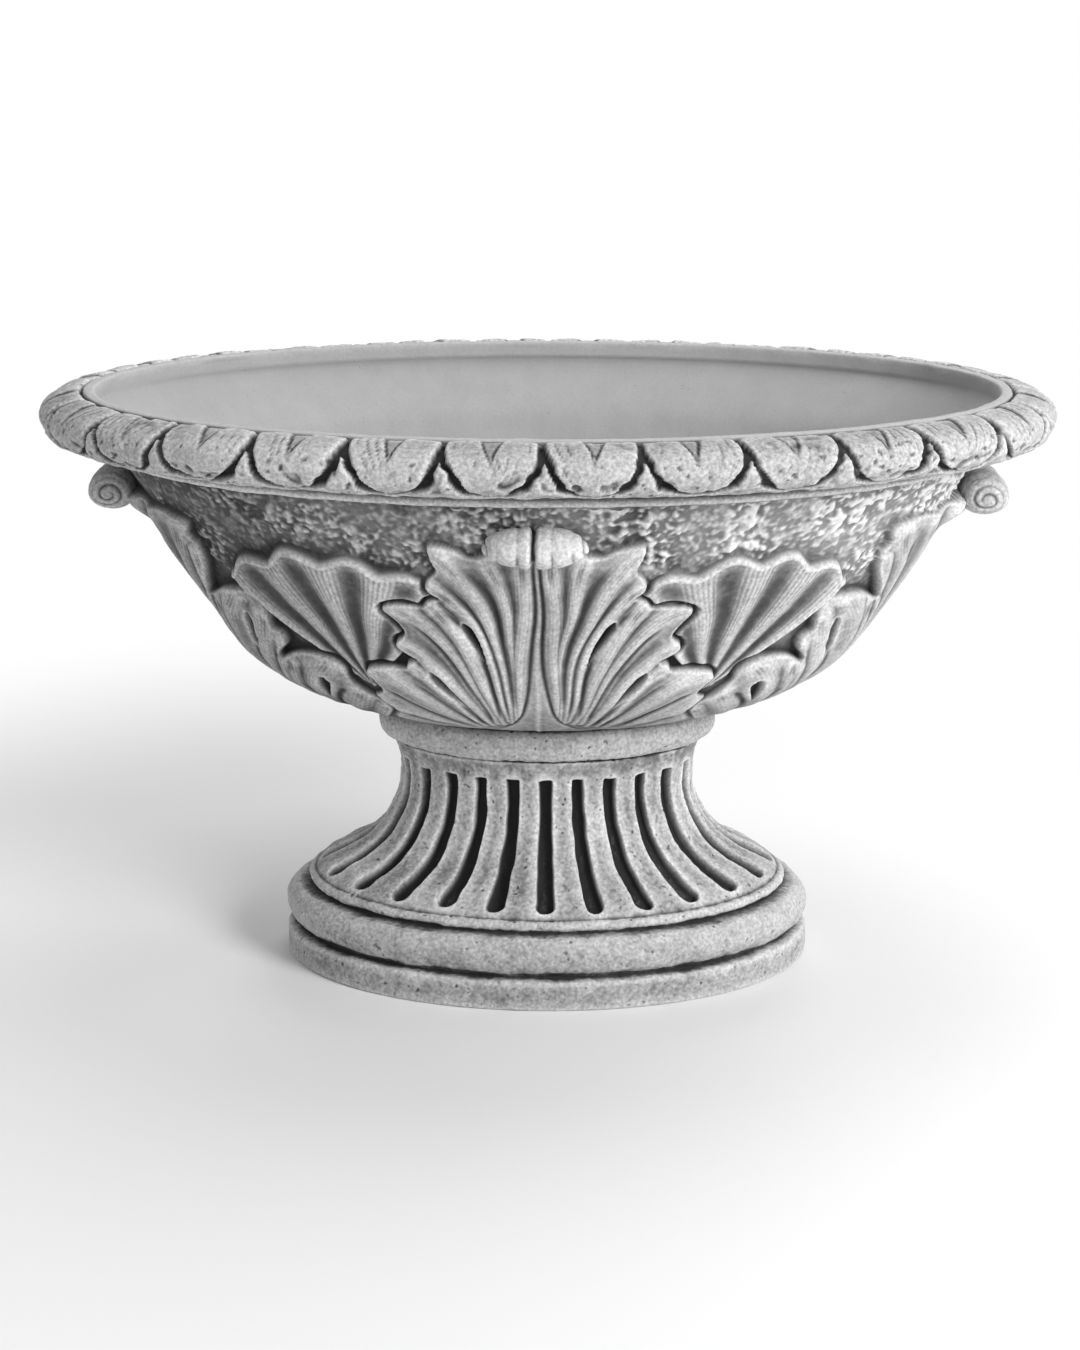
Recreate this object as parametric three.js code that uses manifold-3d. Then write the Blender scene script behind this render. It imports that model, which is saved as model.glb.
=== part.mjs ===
// Oval garden urn planter in cast stone: a carved bowl on a fluted foot, bedded in mortar, held by
// two dowels and drained through a sleeve. Millimetres, +Z up, +X along the long axis, front at -Y.
// The origin is the centre of the base, on the ground.
import * as THREE from 'three';
import { mergeVertices } from 'three/addons/utils/BufferGeometryUtils.js';
import Module from 'manifold-3d';

const wasm = await Module();
wasm.setup();

// ---- Driving dimensions -------------------------------------------------------------------------
// Foot
const PLINTH_LENGTH = 440;         // over the lowest block, left to right
const PLINTH_DEPTH = 280;          // over the lowest block, front to back
const PLINTH_HEIGHT = 25;
const BASE_TORUS_HEIGHT = 28;      // the fat roll above the plinth
const BASE_TORUS_INSET = 2;        // how far the roll stands in from the plinth's side
const FLANGE_HEIGHT = 9;           // thin rolled edge that the flutes run out on
const FLANGE_INSET = 20;           // how far the flange stands in from the plinth's side
const BASE_GROOVE = 3;             // height of the two dark grooves in the base moulding
const BASE_GROOVE_DEPTH = 12;
const BASE_ROUNDING = 3;           // softened edges of the plinth and of the flange
const NECK_LENGTH = 242;           // narrowest part of the foot, left to right
const NECK_HEIGHT = 160;           // height of that narrowest part above the ground
const FOOT_HEIGHT = 216;           // to the top face that the bowl is bedded on
const SEAT_LENGTH = 278;           // over the ring moulding under the bowl, left to right
const SEAT_DEPTH = 176;            // over the same ring, front to back
const SEAT_RING_HEIGHT = 22;
const FLUTE_COUNT = 24;
const FLUTE_DEPTH = 11;
const FLUTE_SHARE = 0.36;          // groove width as a share of the pitch
const FLUTE_TOP = 174;             // height where the flutes start, under the plain neck band
const FLUTE_END_INSET = 14;        // how far the flutes stop short of the flange edge
const HOLLOW_WALL = 46;            // stone left round the hollow underside at the base
const HOLLOW_TOP_LENGTH = 110;     // the hollow's ceiling, left to right
const FOOT_SLAB = 62;              // solid stone over the hollow

// Joint between foot and bowl
const BED_THICKNESS = 4;           // mortar
const BED_INSET = 9;               // the bed stands in from the ring's edge
const SEAT_GAP = 0.3;              // clear space on both faces of the bed
const DOWEL_DIAMETER = 12;
const DOWEL_LENGTH = 40;
const DOWEL_SPACING = 168;         // centre to centre
const DOWEL_CLEARANCE = 0.3;       // all round and at both ends

// Bowl
const LIP_LENGTH = 734;            // over the plain inner lip, left to right
const LIP_DEPTH = 466;             // over the plain inner lip, front to back
const OVERALL_HEIGHT = 480;        // ground to the top of the lip
const LIP_WIDTH = 9;
const RIM_PROJECTION = 33;         // the egg band beyond the lip
const RIM_HEIGHT = 36;             // top of the lip to the egg band's lower edge
const RIM_EDGE_INSET = 8;          // lower edge stands in from the band's widest line
const EGG_COUNT = 28;
const EGG_RELIEF = 4;
const FILLET_HEIGHT = 8;           // plain roll under the egg band
const FILLET_PROJECTION = 9;
const FILLET_ROUNDING = 2;
const FLANK_TOP_INSET = 24;        // the flank's upper edge stands in from the lip
const FLANK_FOOT_RADIUS = 250;     // half length where the round bottom meets the straight flank
const FLANK_FOOT_RISE = 68;        // that line above the bowl's underside
const WALL = 30;
const MOUTH_DRAFT = 2;             // the upright inner wall leans in by this much
const RIM_WALL_DEPTH = 28;         // depth of the upright inner wall under the lip
const FLOOR_THICKNESS = 30;

// Carving
const CARVING_FADE = 60;           // profile length over which the relief grows to its full height
const LEAF_RELIEF = 11;
const END_LEAF_SPREAD = 1.28;      // the end leaves are this much wider than the front one
const SHELL_RELIEF = 8;
const SHELL_AZIMUTH = 37.6;        // shell centre, degrees round from the front or the back
const SHELL_SPREAD = 19;           // half the fan's top, degrees
const SHELL_BOTTOM = 112;          // profile length where the ribs meet
const SHELL_TOP = 250;             // profile length at the fan's scalloped edge
const SHELL_CHANNELS = 4;
const CURL_HALF_LENGTH = 38;       // the rolled leaf tip at front and back
const CURL_RADIUS = 17;
const CURL_STANDOFF = 11;          // its axis outside the flank
const CURL_DROP = 78;              // its axis below the top of the lip

// Drain
const DRAIN_BORE = 28;
const SLEEVE_CLEARANCE = 0.3;
const SLEEVE_WALL = 2.5;
const SLEEVE_OVERRUN = 12;         // how far it hangs into the hollow foot
const SLEEVE_RECESS = 3;           // its upper end below the bowl's floor

// How finely the solids are faceted
const BOWL_COLUMNS = 64;
const INNER_COLUMNS = 40;
const ROUND_COLUMNS = 24;
const CUT_OVERRUN = 5;             // a cutter runs on past the face that it opens
const COLUMNS_PER_EGG = 4;

// Worked-out heights and half sizes
const BOWL_UNDERSIDE = FOOT_HEIGHT + BED_THICKNESS;
const SEAT_RADIUS = SEAT_LENGTH / 2;
const LIP_RADIUS = LIP_LENGTH / 2;
const SEAT_RATIO = SEAT_DEPTH / SEAT_LENGTH;
const LIP_RATIO = LIP_DEPTH / LIP_LENGTH;
const PLINTH_RATIO = PLINTH_DEPTH / PLINTH_LENGTH;
const RIM_UNDERSIDE = OVERALL_HEIGHT - RIM_HEIGHT;
const FILLET_TOP = RIM_UNDERSIDE - 2;
const FLANK_TOP = { a: LIP_RADIUS - FLANK_TOP_INSET, z: FILLET_TOP - FILLET_HEIGHT };
const FLANK_FOOT = { a: FLANK_FOOT_RADIUS, z: BOWL_UNDERSIDE + FLANK_FOOT_RISE };
const BOWL_FLOOR = BOWL_UNDERSIDE + FLOOR_THICKNESS;
const HOLLOW_CEILING = FOOT_HEIGHT - FOOT_SLAB;
const DOWEL_HOLE = DOWEL_DIAMETER + 2 * DOWEL_CLEARANCE;
const DOWEL_BOTTOM = (FOOT_HEIGHT + BOWL_UNDERSIDE - DOWEL_LENGTH) / 2;
const DOWEL_TOP = DOWEL_BOTTOM + DOWEL_LENGTH;

// ---- Solids from grids of points ----------------------------------------------------------------
function toSolid(geometry) {
  const bare = geometry.clone();
  bare.deleteAttribute('normal');
  bare.deleteAttribute('uv');
  const merged = mergeVertices(bare, 1e-4);
  return new wasm.Manifold(new wasm.Mesh({
    numProp: 3,
    vertProperties: Float32Array.from(merged.attributes.position.array),
    triVerts: Uint32Array.from(merged.index.array),
  }));
}

function toGeometry(solid) {
  const mesh = solid.getMesh();
  const geometry = new THREE.BufferGeometry();
  geometry.setAttribute('position', new THREE.BufferAttribute(mesh.vertProperties, 3));
  geometry.setIndex(new THREE.BufferAttribute(mesh.triVerts, 1));
  const facets = geometry.toNonIndexed();
  facets.computeVertexNormals();
  return facets;
}

// A closed skin through rows of points. Each row is a ring of equal length; the first and the last
// row are closed by a fan, or joined to each other when loop is true.
function skin(rows, loop = false) {
  const count = rows[0].length;
  const points = rows.flat();
  const faces = [];
  const rowPairs = loop ? rows.length : rows.length - 1;
  for (let row = 0; row < rowPairs; row++) {
    const below = row * count;
    const above = ((row + 1) % rows.length) * count;
    for (let i = 0; i < count; i++) {
      const next = (i + 1) % count;
      faces.push(below + i, below + next, above + next);
      faces.push(below + i, above + next, above + i);
    }
  }
  if (!loop) {
    for (const [row, turned] of [[0, true], [rows.length - 1, false]]) {
      const centre = new THREE.Vector3();
      rows[row].forEach((point) => centre.addScaledVector(point, 1 / count));
      points.push(centre);
      for (let i = 0; i < count; i++) {
        const pair = [row * count + i, row * count + (i + 1) % count];
        faces.push(...(turned ? pair.reverse() : pair), points.length - 1);
      }
    }
  }
  const geometry = new THREE.BufferGeometry();
  geometry.setAttribute('position', new THREE.Float32BufferAttribute(
    points.flatMap((point) => [point.x, point.y, point.z]), 3));
  geometry.setIndex(faces);
  return toSolid(geometry);
}

function cylinder(diameter, bottom, top, x = 0) {
  const geometry = new THREE.CylinderGeometry(diameter / 2, diameter / 2, top - bottom, ROUND_COLUMNS);
  geometry.rotateX(Math.PI / 2);
  geometry.translate(x, 0, (top + bottom) / 2);
  return toSolid(geometry);
}

// ---- The oval ------------------------------------------------------------------------------------
// Carving is spaced by length along the oval, so a share of the way round is turned into the
// ellipse's own angle. Share 0 is the right end, 0.25 the back, 0.75 the front.
const OVAL_STEPS = 1440;
const ovalLength = [0];
for (let i = 1; i <= OVAL_STEPS; i++) {
  const angle = ((i - 0.5) / OVAL_STEPS) * 2 * Math.PI;
  ovalLength.push(ovalLength[i - 1] + Math.hypot(Math.sin(angle), LIP_RATIO * Math.cos(angle)));
}

function ovalAngle(share) {
  const turns = Math.floor(share);
  const target = (share - turns) * ovalLength[OVAL_STEPS];
  let high = 1;
  while (ovalLength[high] < target) high++;
  const step = (target - ovalLength[high - 1]) / (ovalLength[high] - ovalLength[high - 1]);
  return (turns + (high - 1 + step) / OVAL_STEPS) * 2 * Math.PI;
}

function ring(halfLength, ratio, z, columns) {
  return Array.from({ length: columns }, (_, i) => {
    const angle = ovalAngle(i / columns);
    return new THREE.Vector3(halfLength * Math.cos(angle), ratio * halfLength * Math.sin(angle), z);
  });
}

// ---- Bowl surface --------------------------------------------------------------------------------
// The outside is a round bottom that runs out tangent to a straight flank. It is addressed by the
// length along that profile, starting at the edge of the underside.
const flankLength = Math.hypot(FLANK_TOP.a - FLANK_FOOT.a, FLANK_TOP.z - FLANK_FOOT.z);
const flankA = (FLANK_TOP.a - FLANK_FOOT.a) / flankLength;
const flankZ = (FLANK_TOP.z - FLANK_FOOT.z) / flankLength;
const chordA = SEAT_RADIUS - FLANK_FOOT.a;
const chordZ = BOWL_UNDERSIDE - FLANK_FOOT.z;
const bellyRadius = (chordA ** 2 + chordZ ** 2) / (2 * (chordZ * flankA - chordA * flankZ));
const bellyCentre = { a: FLANK_FOOT.a - bellyRadius * flankZ, z: FLANK_FOOT.z + bellyRadius * flankA };
const bellyStart = Math.atan2(BOWL_UNDERSIDE - bellyCentre.z, SEAT_RADIUS - bellyCentre.a);
const bellyEnd = Math.atan2(FLANK_FOOT.z - bellyCentre.z, FLANK_FOOT.a - bellyCentre.a);
const bellyLength = bellyRadius * (bellyEnd - bellyStart);
const OUTSIDE_LENGTH = bellyLength + flankLength;

function outside(length) {
  if (length < bellyLength) {
    const angle = bellyStart + length / bellyRadius;
    return {
      a: bellyCentre.a + bellyRadius * Math.cos(angle),
      z: bellyCentre.z + bellyRadius * Math.sin(angle),
    };
  }
  const along = length - bellyLength;
  return { a: FLANK_FOOT.a + along * flankA, z: FLANK_FOOT.z + along * flankZ };
}

function bowlRatio(z) {
  const rise = (z - BOWL_UNDERSIDE) / (OVERALL_HEIGHT - BOWL_UNDERSIDE);
  return THREE.MathUtils.lerp(SEAT_RATIO, LIP_RATIO, THREE.MathUtils.clamp(rise, 0, 1));
}

// A point on the outside, at degrees round from the right end, raised square to the surface by lift.
// The carving dies out towards the underside, so that nothing hangs below the joint.
function onBowl(degrees, length, lift = 0) {
  const angle = ovalAngle(degrees / 360);
  const at = (l) => {
    const { a, z } = outside(l);
    return new THREE.Vector3(a * Math.cos(angle), bowlRatio(z) * a * Math.sin(angle), z);
  };
  const point = at(length);
  const { a, z } = outside(length);
  const round = new THREE.Vector3(-a * Math.sin(angle), bowlRatio(z) * a * Math.cos(angle), 0);
  const up = at(length + 1).sub(at(length - 1));
  const fade = lift > 0 ? THREE.MathUtils.clamp(length / CARVING_FADE, 0, 1) ** 1.5 : 1;
  return point.addScaledVector(round.cross(up).normalize(), lift * fade);
}

// ---- Carving -------------------------------------------------------------------------------------
// One half of an acanthus leaf: the crest lines of its fingers, from the stem outwards. Each runs
// from its root past its bend to its tip, as [degrees from the leaf's axis, profile length].
const STEM_CREST = { root: [0, 12], bend: [0, 140], tip: [0, 264] };
const LEAF_FINGERS = [
  { root: [3, 90], bend: [4.5, 195], tip: [9, 262] },
  { root: [5, 80], bend: [8.5, 195], tip: [16, 274] },
  { root: [6.5, 66], bend: [13, 160], tip: [19, 232] },
  { root: [8, 54], bend: [17, 135], tip: [27.5, 210] },
  { root: [9.5, 42], bend: [20, 100], tip: [28, 162] },
  { root: [12, 30], bend: [25, 82], tip: [37, 145] },
  { root: [14, 20], bend: [30, 48], tip: [44, 92] },
];
// The leaf's outer edge, outside the last finger.
const LEAF_EDGE = { root: [16, 14], bend: [32, 32], tip: [44, 92] };
const LEAF_STEPS = 4;
const CARVING_SINK = 6;            // how far the carving's hidden back lies inside the bowl
const VALLEY_END = 0.84;           // a valley stops short of the tips on either side of it
const EDGE_END = 0.93;
const VALLEY_RELIEF = 0.35;        // shares of the leaf's relief: in a valley,
const STEM_RELIEF = 0.7;           // on the stem,
const ROOT_RELIEF = 0.45;          // and at the root of any line

// A closed pad from lines across it. Each line is a list of {degrees, length, lift}.
function pad(lines) {
  return skin(lines.map((line) => [
    ...line.map(({ degrees, length }) => onBowl(degrees, length, -CARVING_SINK)),
    ...line.map(({ degrees, length, lift }) => onBowl(degrees, length, lift)).reverse(),
  ]));
}

function curveLine({ root, bend, tip }, axis, side, spread, reach, relief) {
  return Array.from({ length: LEAF_STEPS + 1 }, (_, step) => {
    const t = reach * step / LEAF_STEPS;
    const mix = (k) => (1 - t) ** 2 * root[k] + 2 * t * (1 - t) * bend[k] + t ** 2 * tip[k];
    const rise = THREE.MathUtils.lerp(ROOT_RELIEF, 1, t);
    return { degrees: axis + side * spread * mix(0), length: mix(1), lift: relief * rise };
  });
}

function between(one, other) {
  const middle = (name) => [0, 1].map((k) => (one[name][k] + other[name][k]) / 2);
  return { root: middle('root'), bend: middle('bend'), tip: middle('tip') };
}

function halfLeaf(axis, side, spread) {
  const crests = [STEM_CREST, ...LEAF_FINGERS];
  const lines = [];
  for (let i = 1; i < crests.length; i++) {
    const valley = between(crests[i - 1], crests[i]);
    lines.push(curveLine(valley, axis, side, spread, VALLEY_END, VALLEY_RELIEF * LEAF_RELIEF));
    lines.push(curveLine(crests[i], axis, side, spread, 1, LEAF_RELIEF));
  }
  lines.push(curveLine(LEAF_EDGE, axis, side, spread, EDGE_END, VALLEY_RELIEF * LEAF_RELIEF));
  return lines;
}

function leaf(axis, spread) {
  const stem = curveLine(STEM_CREST, axis, 1, spread, 1, STEM_RELIEF * LEAF_RELIEF);
  return pad([...halfLeaf(axis, -1, spread).reverse(), stem, ...halfLeaf(axis, 1, spread)]);
}

// The tip of each leaf rolls over outwards into a curl with a rounded, tapering body.
function curl(axisDegrees, spread) {
  const centreZ = OVERALL_HEIGHT - CURL_DROP;
  const length = bellyLength + (centreZ - FLANK_FOOT.z) / flankZ;
  const radius = CURL_RADIUS * spread;
  const geometry = new THREE.SphereGeometry(1, 10, 7);
  geometry.rotateX(Math.PI / 2);
  geometry.scale(radius, CURL_HALF_LENGTH * spread, radius);
  geometry.rotateZ(ovalAngle(axisDegrees / 360));
  const centre = onBowl(axisDegrees, length);
  const away = new THREE.Vector2(centre.x, centre.y).normalize();
  const out = CURL_STANDOFF * spread;
  geometry.translate(centre.x + out * away.x, centre.y + out * away.y, centreZ);
  return toSolid(geometry);
}

// A scallop shell: channels between broad ribs, fanning out from a point to a scalloped top edge.
const SHELL_COLUMNS = 4 * SHELL_CHANNELS;
const SHELL_ROWS = 4;
const SHELL_SCALLOP = 9;           // how far the channels' tops rise above the ribs'
const SHELL_CHANNEL_DEPTH = 5;
const SHELL_DROOP = 22;            // the fan's outer corners below its middle
const SHELL_POINT = 0.08;          // width of the point below, as a share of the fan's top

function shell(axis) {
  const lines = [];
  for (let i = 0; i <= SHELL_COLUMNS; i++) {
    const fan = 2 * i / SHELL_COLUMNS - 1;
    const channel = 0.5 + 0.5 * Math.cos(Math.PI * (fan * SHELL_CHANNELS + SHELL_CHANNELS - 1));
    const top = SHELL_TOP - SHELL_DROOP * fan ** 2 + SHELL_SCALLOP * (channel - 0.5);
    const line = [];
    for (let row = 0; row <= SHELL_ROWS; row++) {
      const t = row / SHELL_ROWS;
      const depth = SHELL_CHANNEL_DEPTH * channel * Math.sin(Math.PI * t);
      line.push({
        degrees: axis + fan * SHELL_SPREAD * THREE.MathUtils.lerp(SHELL_POINT, 1, t),
        length: THREE.MathUtils.lerp(SHELL_BOTTOM, top, t),
        lift: SHELL_RELIEF * THREE.MathUtils.lerp(ROOT_RELIEF, 1, t) - depth,
      });
    }
    lines.push(line);
  }
  return pad(lines);
}

// ---- Egg band ------------------------------------------------------------------------------------
// The band follows the lip at a constant distance, [outwards from the lip, height, relief share].
// Its hidden back lies inside the bowl's wall, clear of the mouth.
const RIM_BACK = -LIP_WIDTH - 14;
const RIM_SECTION = [
  [RIM_BACK, RIM_UNDERSIDE + 2, 0],
  [2, RIM_UNDERSIDE - 2, 0],
  [RIM_PROJECTION - RIM_EDGE_INSET, RIM_UNDERSIDE, 0],
  [RIM_PROJECTION - 1, RIM_UNDERSIDE + 0.2 * RIM_HEIGHT, 0.4],
  [RIM_PROJECTION, RIM_UNDERSIDE + 0.4 * RIM_HEIGHT, 1],
  [0.82 * RIM_PROJECTION, RIM_UNDERSIDE + 0.68 * RIM_HEIGHT, 1],
  [0.45 * RIM_PROJECTION, RIM_UNDERSIDE + 0.86 * RIM_HEIGHT, 1],
  [0.13 * RIM_PROJECTION, OVERALL_HEIGHT - 4, 0.4],
  [1, OVERALL_HEIGHT - 6, 0],
  [-1, OVERALL_HEIGHT, 0],
  [RIM_BACK, OVERALL_HEIGHT, 0],
];

function rimRing([out, z, share]) {
  const columns = EGG_COUNT * COLUMNS_PER_EGG;
  const dartsFromEnd = 0.75 * EGG_COUNT - Math.floor(0.75 * EGG_COUNT);
  return Array.from({ length: columns }, (_, i) => {
    const turn = (i + dartsFromEnd * COLUMNS_PER_EGG) / columns;
    const angle = ovalAngle(turn);
    const dart = i % COLUMNS_PER_EGG === 0;
    const normal = new THREE.Vector2(LIP_RATIO * Math.cos(angle), Math.sin(angle)).normalize();
    const reach = out - (dart ? share * EGG_RELIEF : 0);
    return new THREE.Vector3(
      LIP_RADIUS * Math.cos(angle) + reach * normal.x,
      LIP_RADIUS * LIP_RATIO * Math.sin(angle) + reach * normal.y,
      z - (dart ? 0.5 * share * EGG_RELIEF : 0));
  });
}

// ---- Bowl ----------------------------------------------------------------------------------------
const BELLY_ROWS = 6;
const FLANK_ROWS = 4;

function bowlBody() {
  const rows = [];
  for (let i = 0; i < BELLY_ROWS; i++) rows.push(outside(bellyLength * i / BELLY_ROWS));
  for (let i = 0; i <= FLANK_ROWS; i++) rows.push(outside(bellyLength + flankLength * i / FLANK_ROWS));
  const fillet = [
    [FILLET_PROJECTION - FILLET_ROUNDING, 0.15],
    [FILLET_PROJECTION, 0.5],
    [FILLET_PROJECTION - FILLET_ROUNDING, 0.85],
  ];
  for (const [out, rise] of fillet) {
    rows.push({ a: FLANK_TOP.a + out, z: FLANK_TOP.z + rise * FILLET_HEIGHT });
  }
  // Above the fillet the wall goes on inside the rim moulding.
  const hidden = FLANK_TOP.a + FILLET_ROUNDING;
  rows.push({ a: hidden, z: FILLET_TOP - 0.5 });
  rows.push({ a: hidden, z: OVERALL_HEIGHT - LIP_WIDTH });
  return skin(rows.map(({ a, z }) => ring(a, bowlRatio(z), z, BOWL_COLUMNS)));
}

// The inside keeps the wall's thickness down to the belly, then runs out flat to the floor.
const WALL_STATIONS = [0.92, 0.7, 0.5, 0.34];      // shares of the outside's profile length
const FLOOR_BEND = { reach: 0.8, rise: 0.3 };      // shares of the last wall station's
const FLOOR_REACH = 0.55;

function insideProfile() {
  const mouth = LIP_RADIUS - LIP_WIDTH;
  const rows = [
    { a: mouth, z: OVERALL_HEIGHT + CUT_OVERRUN },
    { a: mouth - MOUTH_DRAFT, z: OVERALL_HEIGHT - RIM_WALL_DEPTH },
  ];
  for (const share of WALL_STATIONS) {
    const { a, z } = outside(share * OUTSIDE_LENGTH);
    rows.push({ a: a - WALL * flankZ, z: z + WALL * flankA });
  }
  const last = rows[rows.length - 1];
  rows.push({ a: FLOOR_BEND.reach * last.a, z: THREE.MathUtils.lerp(BOWL_FLOOR, last.z, FLOOR_BEND.rise) });
  rows.push({ a: FLOOR_REACH * last.a, z: BOWL_FLOOR });
  return rows;
}

function bowlSolid() {
  let solid = bowlBody().add(skin(RIM_SECTION.map(rimRing), true));
  for (const [axis, spread] of [[270, 1], [90, 1], [0, END_LEAF_SPREAD], [180, END_LEAF_SPREAD]]) {
    solid = solid.add(leaf(axis, spread)).add(curl(axis, spread));
  }
  for (const axis of [90, 270]) {
    for (const side of [-1, 1]) solid = solid.add(shell(axis + side * SHELL_AZIMUTH));
  }
  const inside = insideProfile().map(({ a, z }) => ring(a, bowlRatio(z), z, INNER_COLUMNS)).reverse();
  const below = BOWL_UNDERSIDE - CUT_OVERRUN;
  solid = solid.subtract(skin(inside));
  solid = solid.subtract(cylinder(DRAIN_BORE, below, BOWL_FLOOR + CUT_OVERRUN));
  for (const x of dowelPlaces()) {
    solid = solid.subtract(cylinder(DOWEL_HOLE, below, DOWEL_TOP + DOWEL_CLEARANCE, x));
  }
  return solid;
}

// ---- Foot ----------------------------------------------------------------------------------------
const PLINTH_RADIUS = PLINTH_LENGTH / 2;
const NECK_RADIUS = NECK_LENGTH / 2;
const TORUS_BOTTOM = PLINTH_HEIGHT + BASE_GROOVE;
const TORUS_TOP = TORUS_BOTTOM + BASE_TORUS_HEIGHT;
const FLANGE_BOTTOM = TORUS_TOP + BASE_GROOVE;
const FLANGE_TOP = FLANGE_BOTTOM + FLANGE_HEIGHT;
const FLANGE_RADIUS = PLINTH_RADIUS - FLANGE_INSET;
const SWEEP_RADIUS = FLANGE_RADIUS - 7;
const SWEEP_BOTTOM = FLANGE_TOP + 2;
const SWEEP_POWER = 1.5;           // 2 would make the sweep a quarter of an ellipse
const NECK_FLARE = 6;
const RING_BOTTOM = FOOT_HEIGHT - SEAT_RING_HEIGHT;
const FLUTE_BOTTOM = SWEEP_BOTTOM + 0.35 * FLUTE_END_INSET;
const FLUTE_RUN_OUT = 4;           // height over which a flute's lower end deepens
const FLUTE_ROWS = 5;

function footRatio(z) {
  return THREE.MathUtils.lerp(PLINTH_RATIO, SEAT_RATIO, THREE.MathUtils.clamp(z / FOOT_HEIGHT, 0, 1));
}

// The concave sweep from the flange in to the neck, and the neck's slight flare above it.
function sweep(z) {
  if (z > NECK_HEIGHT) {
    return NECK_RADIUS + NECK_FLARE * ((z - NECK_HEIGHT) / (RING_BOTTOM - NECK_HEIGHT)) ** 2;
  }
  const fall = (NECK_HEIGHT - z) / (NECK_HEIGHT - SWEEP_BOTTOM);
  return SWEEP_RADIUS - (SWEEP_RADIUS - NECK_RADIUS) * (1 - fall ** SWEEP_POWER) ** (1 / SWEEP_POWER);
}

// Rows of a roll that stands out between two heights, through the given lean angles.
function roll(reach, bottom, top, bulge, leans) {
  const half = (top - bottom) / 2;
  return leans.map((lean) => ({
    a: reach - bulge * half * (1 - Math.cos(lean)),
    z: bottom + half * (1 + Math.sin(lean)),
  }));
}

// Rows of the foot's outside, from the ground up; flute is how deep the grooves are cut there.
function footRows() {
  const grooveFloor = PLINTH_RADIUS - BASE_GROOVE_DEPTH;
  const grooveEdge = BASE_GROOVE / 6;
  const rows = [
    { a: PLINTH_RADIUS - BASE_ROUNDING, z: 0 },
    { a: PLINTH_RADIUS, z: BASE_ROUNDING },
    { a: PLINTH_RADIUS, z: PLINTH_HEIGHT - BASE_ROUNDING },
    { a: PLINTH_RADIUS - BASE_ROUNDING, z: PLINTH_HEIGHT },
    { a: grooveFloor, z: PLINTH_HEIGHT + grooveEdge },
    { a: grooveFloor, z: TORUS_BOTTOM - grooveEdge },
    ...roll(PLINTH_RADIUS - BASE_TORUS_INSET, TORUS_BOTTOM, TORUS_TOP, 0.7, [-1.15, -0.4, 0.4, 1.15]),
    { a: FLANGE_RADIUS - BASE_ROUNDING, z: TORUS_TOP + grooveEdge },
    { a: FLANGE_RADIUS - BASE_ROUNDING, z: FLANGE_BOTTOM - grooveEdge },
    { a: FLANGE_RADIUS, z: FLANGE_BOTTOM + 1 },
    { a: FLANGE_RADIUS, z: FLANGE_TOP - 1 },
    { a: SWEEP_RADIUS, z: SWEEP_BOTTOM - 0.5 },
    { a: sweep(FLUTE_BOTTOM), z: FLUTE_BOTTOM },
  ];
  const deep = FLUTE_BOTTOM + FLUTE_RUN_OUT;
  rows.push({ a: sweep(deep), z: deep, flute: 0.6 * FLUTE_DEPTH });
  for (let i = 1; i <= FLUTE_ROWS; i++) {
    const z = THREE.MathUtils.lerp(deep, FLUTE_TOP - 3, (i / FLUTE_ROWS) ** 1.25);
    rows.push({ a: sweep(z), z, flute: FLUTE_DEPTH });
  }
  const underRing = sweep(RING_BOTTOM - BASE_ROUNDING);
  rows.push({ a: sweep(FLUTE_TOP), z: FLUTE_TOP });
  rows.push({ a: underRing, z: RING_BOTTOM - BASE_ROUNDING });
  rows.push({ a: underRing - BASE_ROUNDING, z: RING_BOTTOM - 1 });
  rows.push(...roll(SEAT_RADIUS, RING_BOTTOM, FOOT_HEIGHT, 1, [-1.05, 0, 1.05]));
  rows.push({ a: SEAT_RADIUS - 0.4 * SEAT_RING_HEIGHT, z: FOOT_HEIGHT });
  return rows;
}

// One flute's columns as shares of its pitch: rim, floor, floor, rim.
const FLUTE_COLUMNS = [-1 / 2, -1 / 5, 1 / 5, 1 / 2].map((share) => 0.5 + share * FLUTE_SHARE);

function footRing({ a, z, flute = 0 }) {
  const points = [];
  for (let groove = 0; groove < FLUTE_COUNT; groove++) {
    FLUTE_COLUMNS.forEach((share, column) => {
      const angle = ovalAngle((groove - 0.5 + share) / FLUTE_COUNT + 0.75);
      const onFloor = column === 1 || column === 2;
      const radius = a - (onFloor ? flute : 0);
      points.push(new THREE.Vector3(radius * Math.cos(angle), footRatio(z) * radius * Math.sin(angle), z));
    });
  }
  return points;
}

const HOLLOW_BEND = { narrowing: 0.7, rise: 0.62 };  // where the hollow's side turns up to its ceiling

function footSolid() {
  const base = PLINTH_RADIUS - HOLLOW_WALL;
  const ceiling = HOLLOW_TOP_LENGTH / 2;
  const bend = THREE.MathUtils.lerp(base, ceiling, HOLLOW_BEND.narrowing);
  const hollow = [
    { a: base, z: -CUT_OVERRUN },
    { a: base, z: PLINTH_HEIGHT },
    { a: bend, z: HOLLOW_BEND.rise * HOLLOW_CEILING },
    { a: ceiling, z: HOLLOW_CEILING },
  ];
  const above = FOOT_HEIGHT + CUT_OVERRUN;
  let solid = skin(footRows().map(footRing));
  solid = solid.subtract(skin(hollow.map(({ a, z }) => ring(a, hollowRatio(a), z, INNER_COLUMNS))));
  solid = solid.subtract(cylinder(DRAIN_BORE, HOLLOW_CEILING - CUT_OVERRUN, above));
  for (const x of dowelPlaces()) {
    solid = solid.subtract(cylinder(DOWEL_HOLE, DOWEL_BOTTOM - DOWEL_CLEARANCE, above, x));
  }
  return solid;
}

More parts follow.
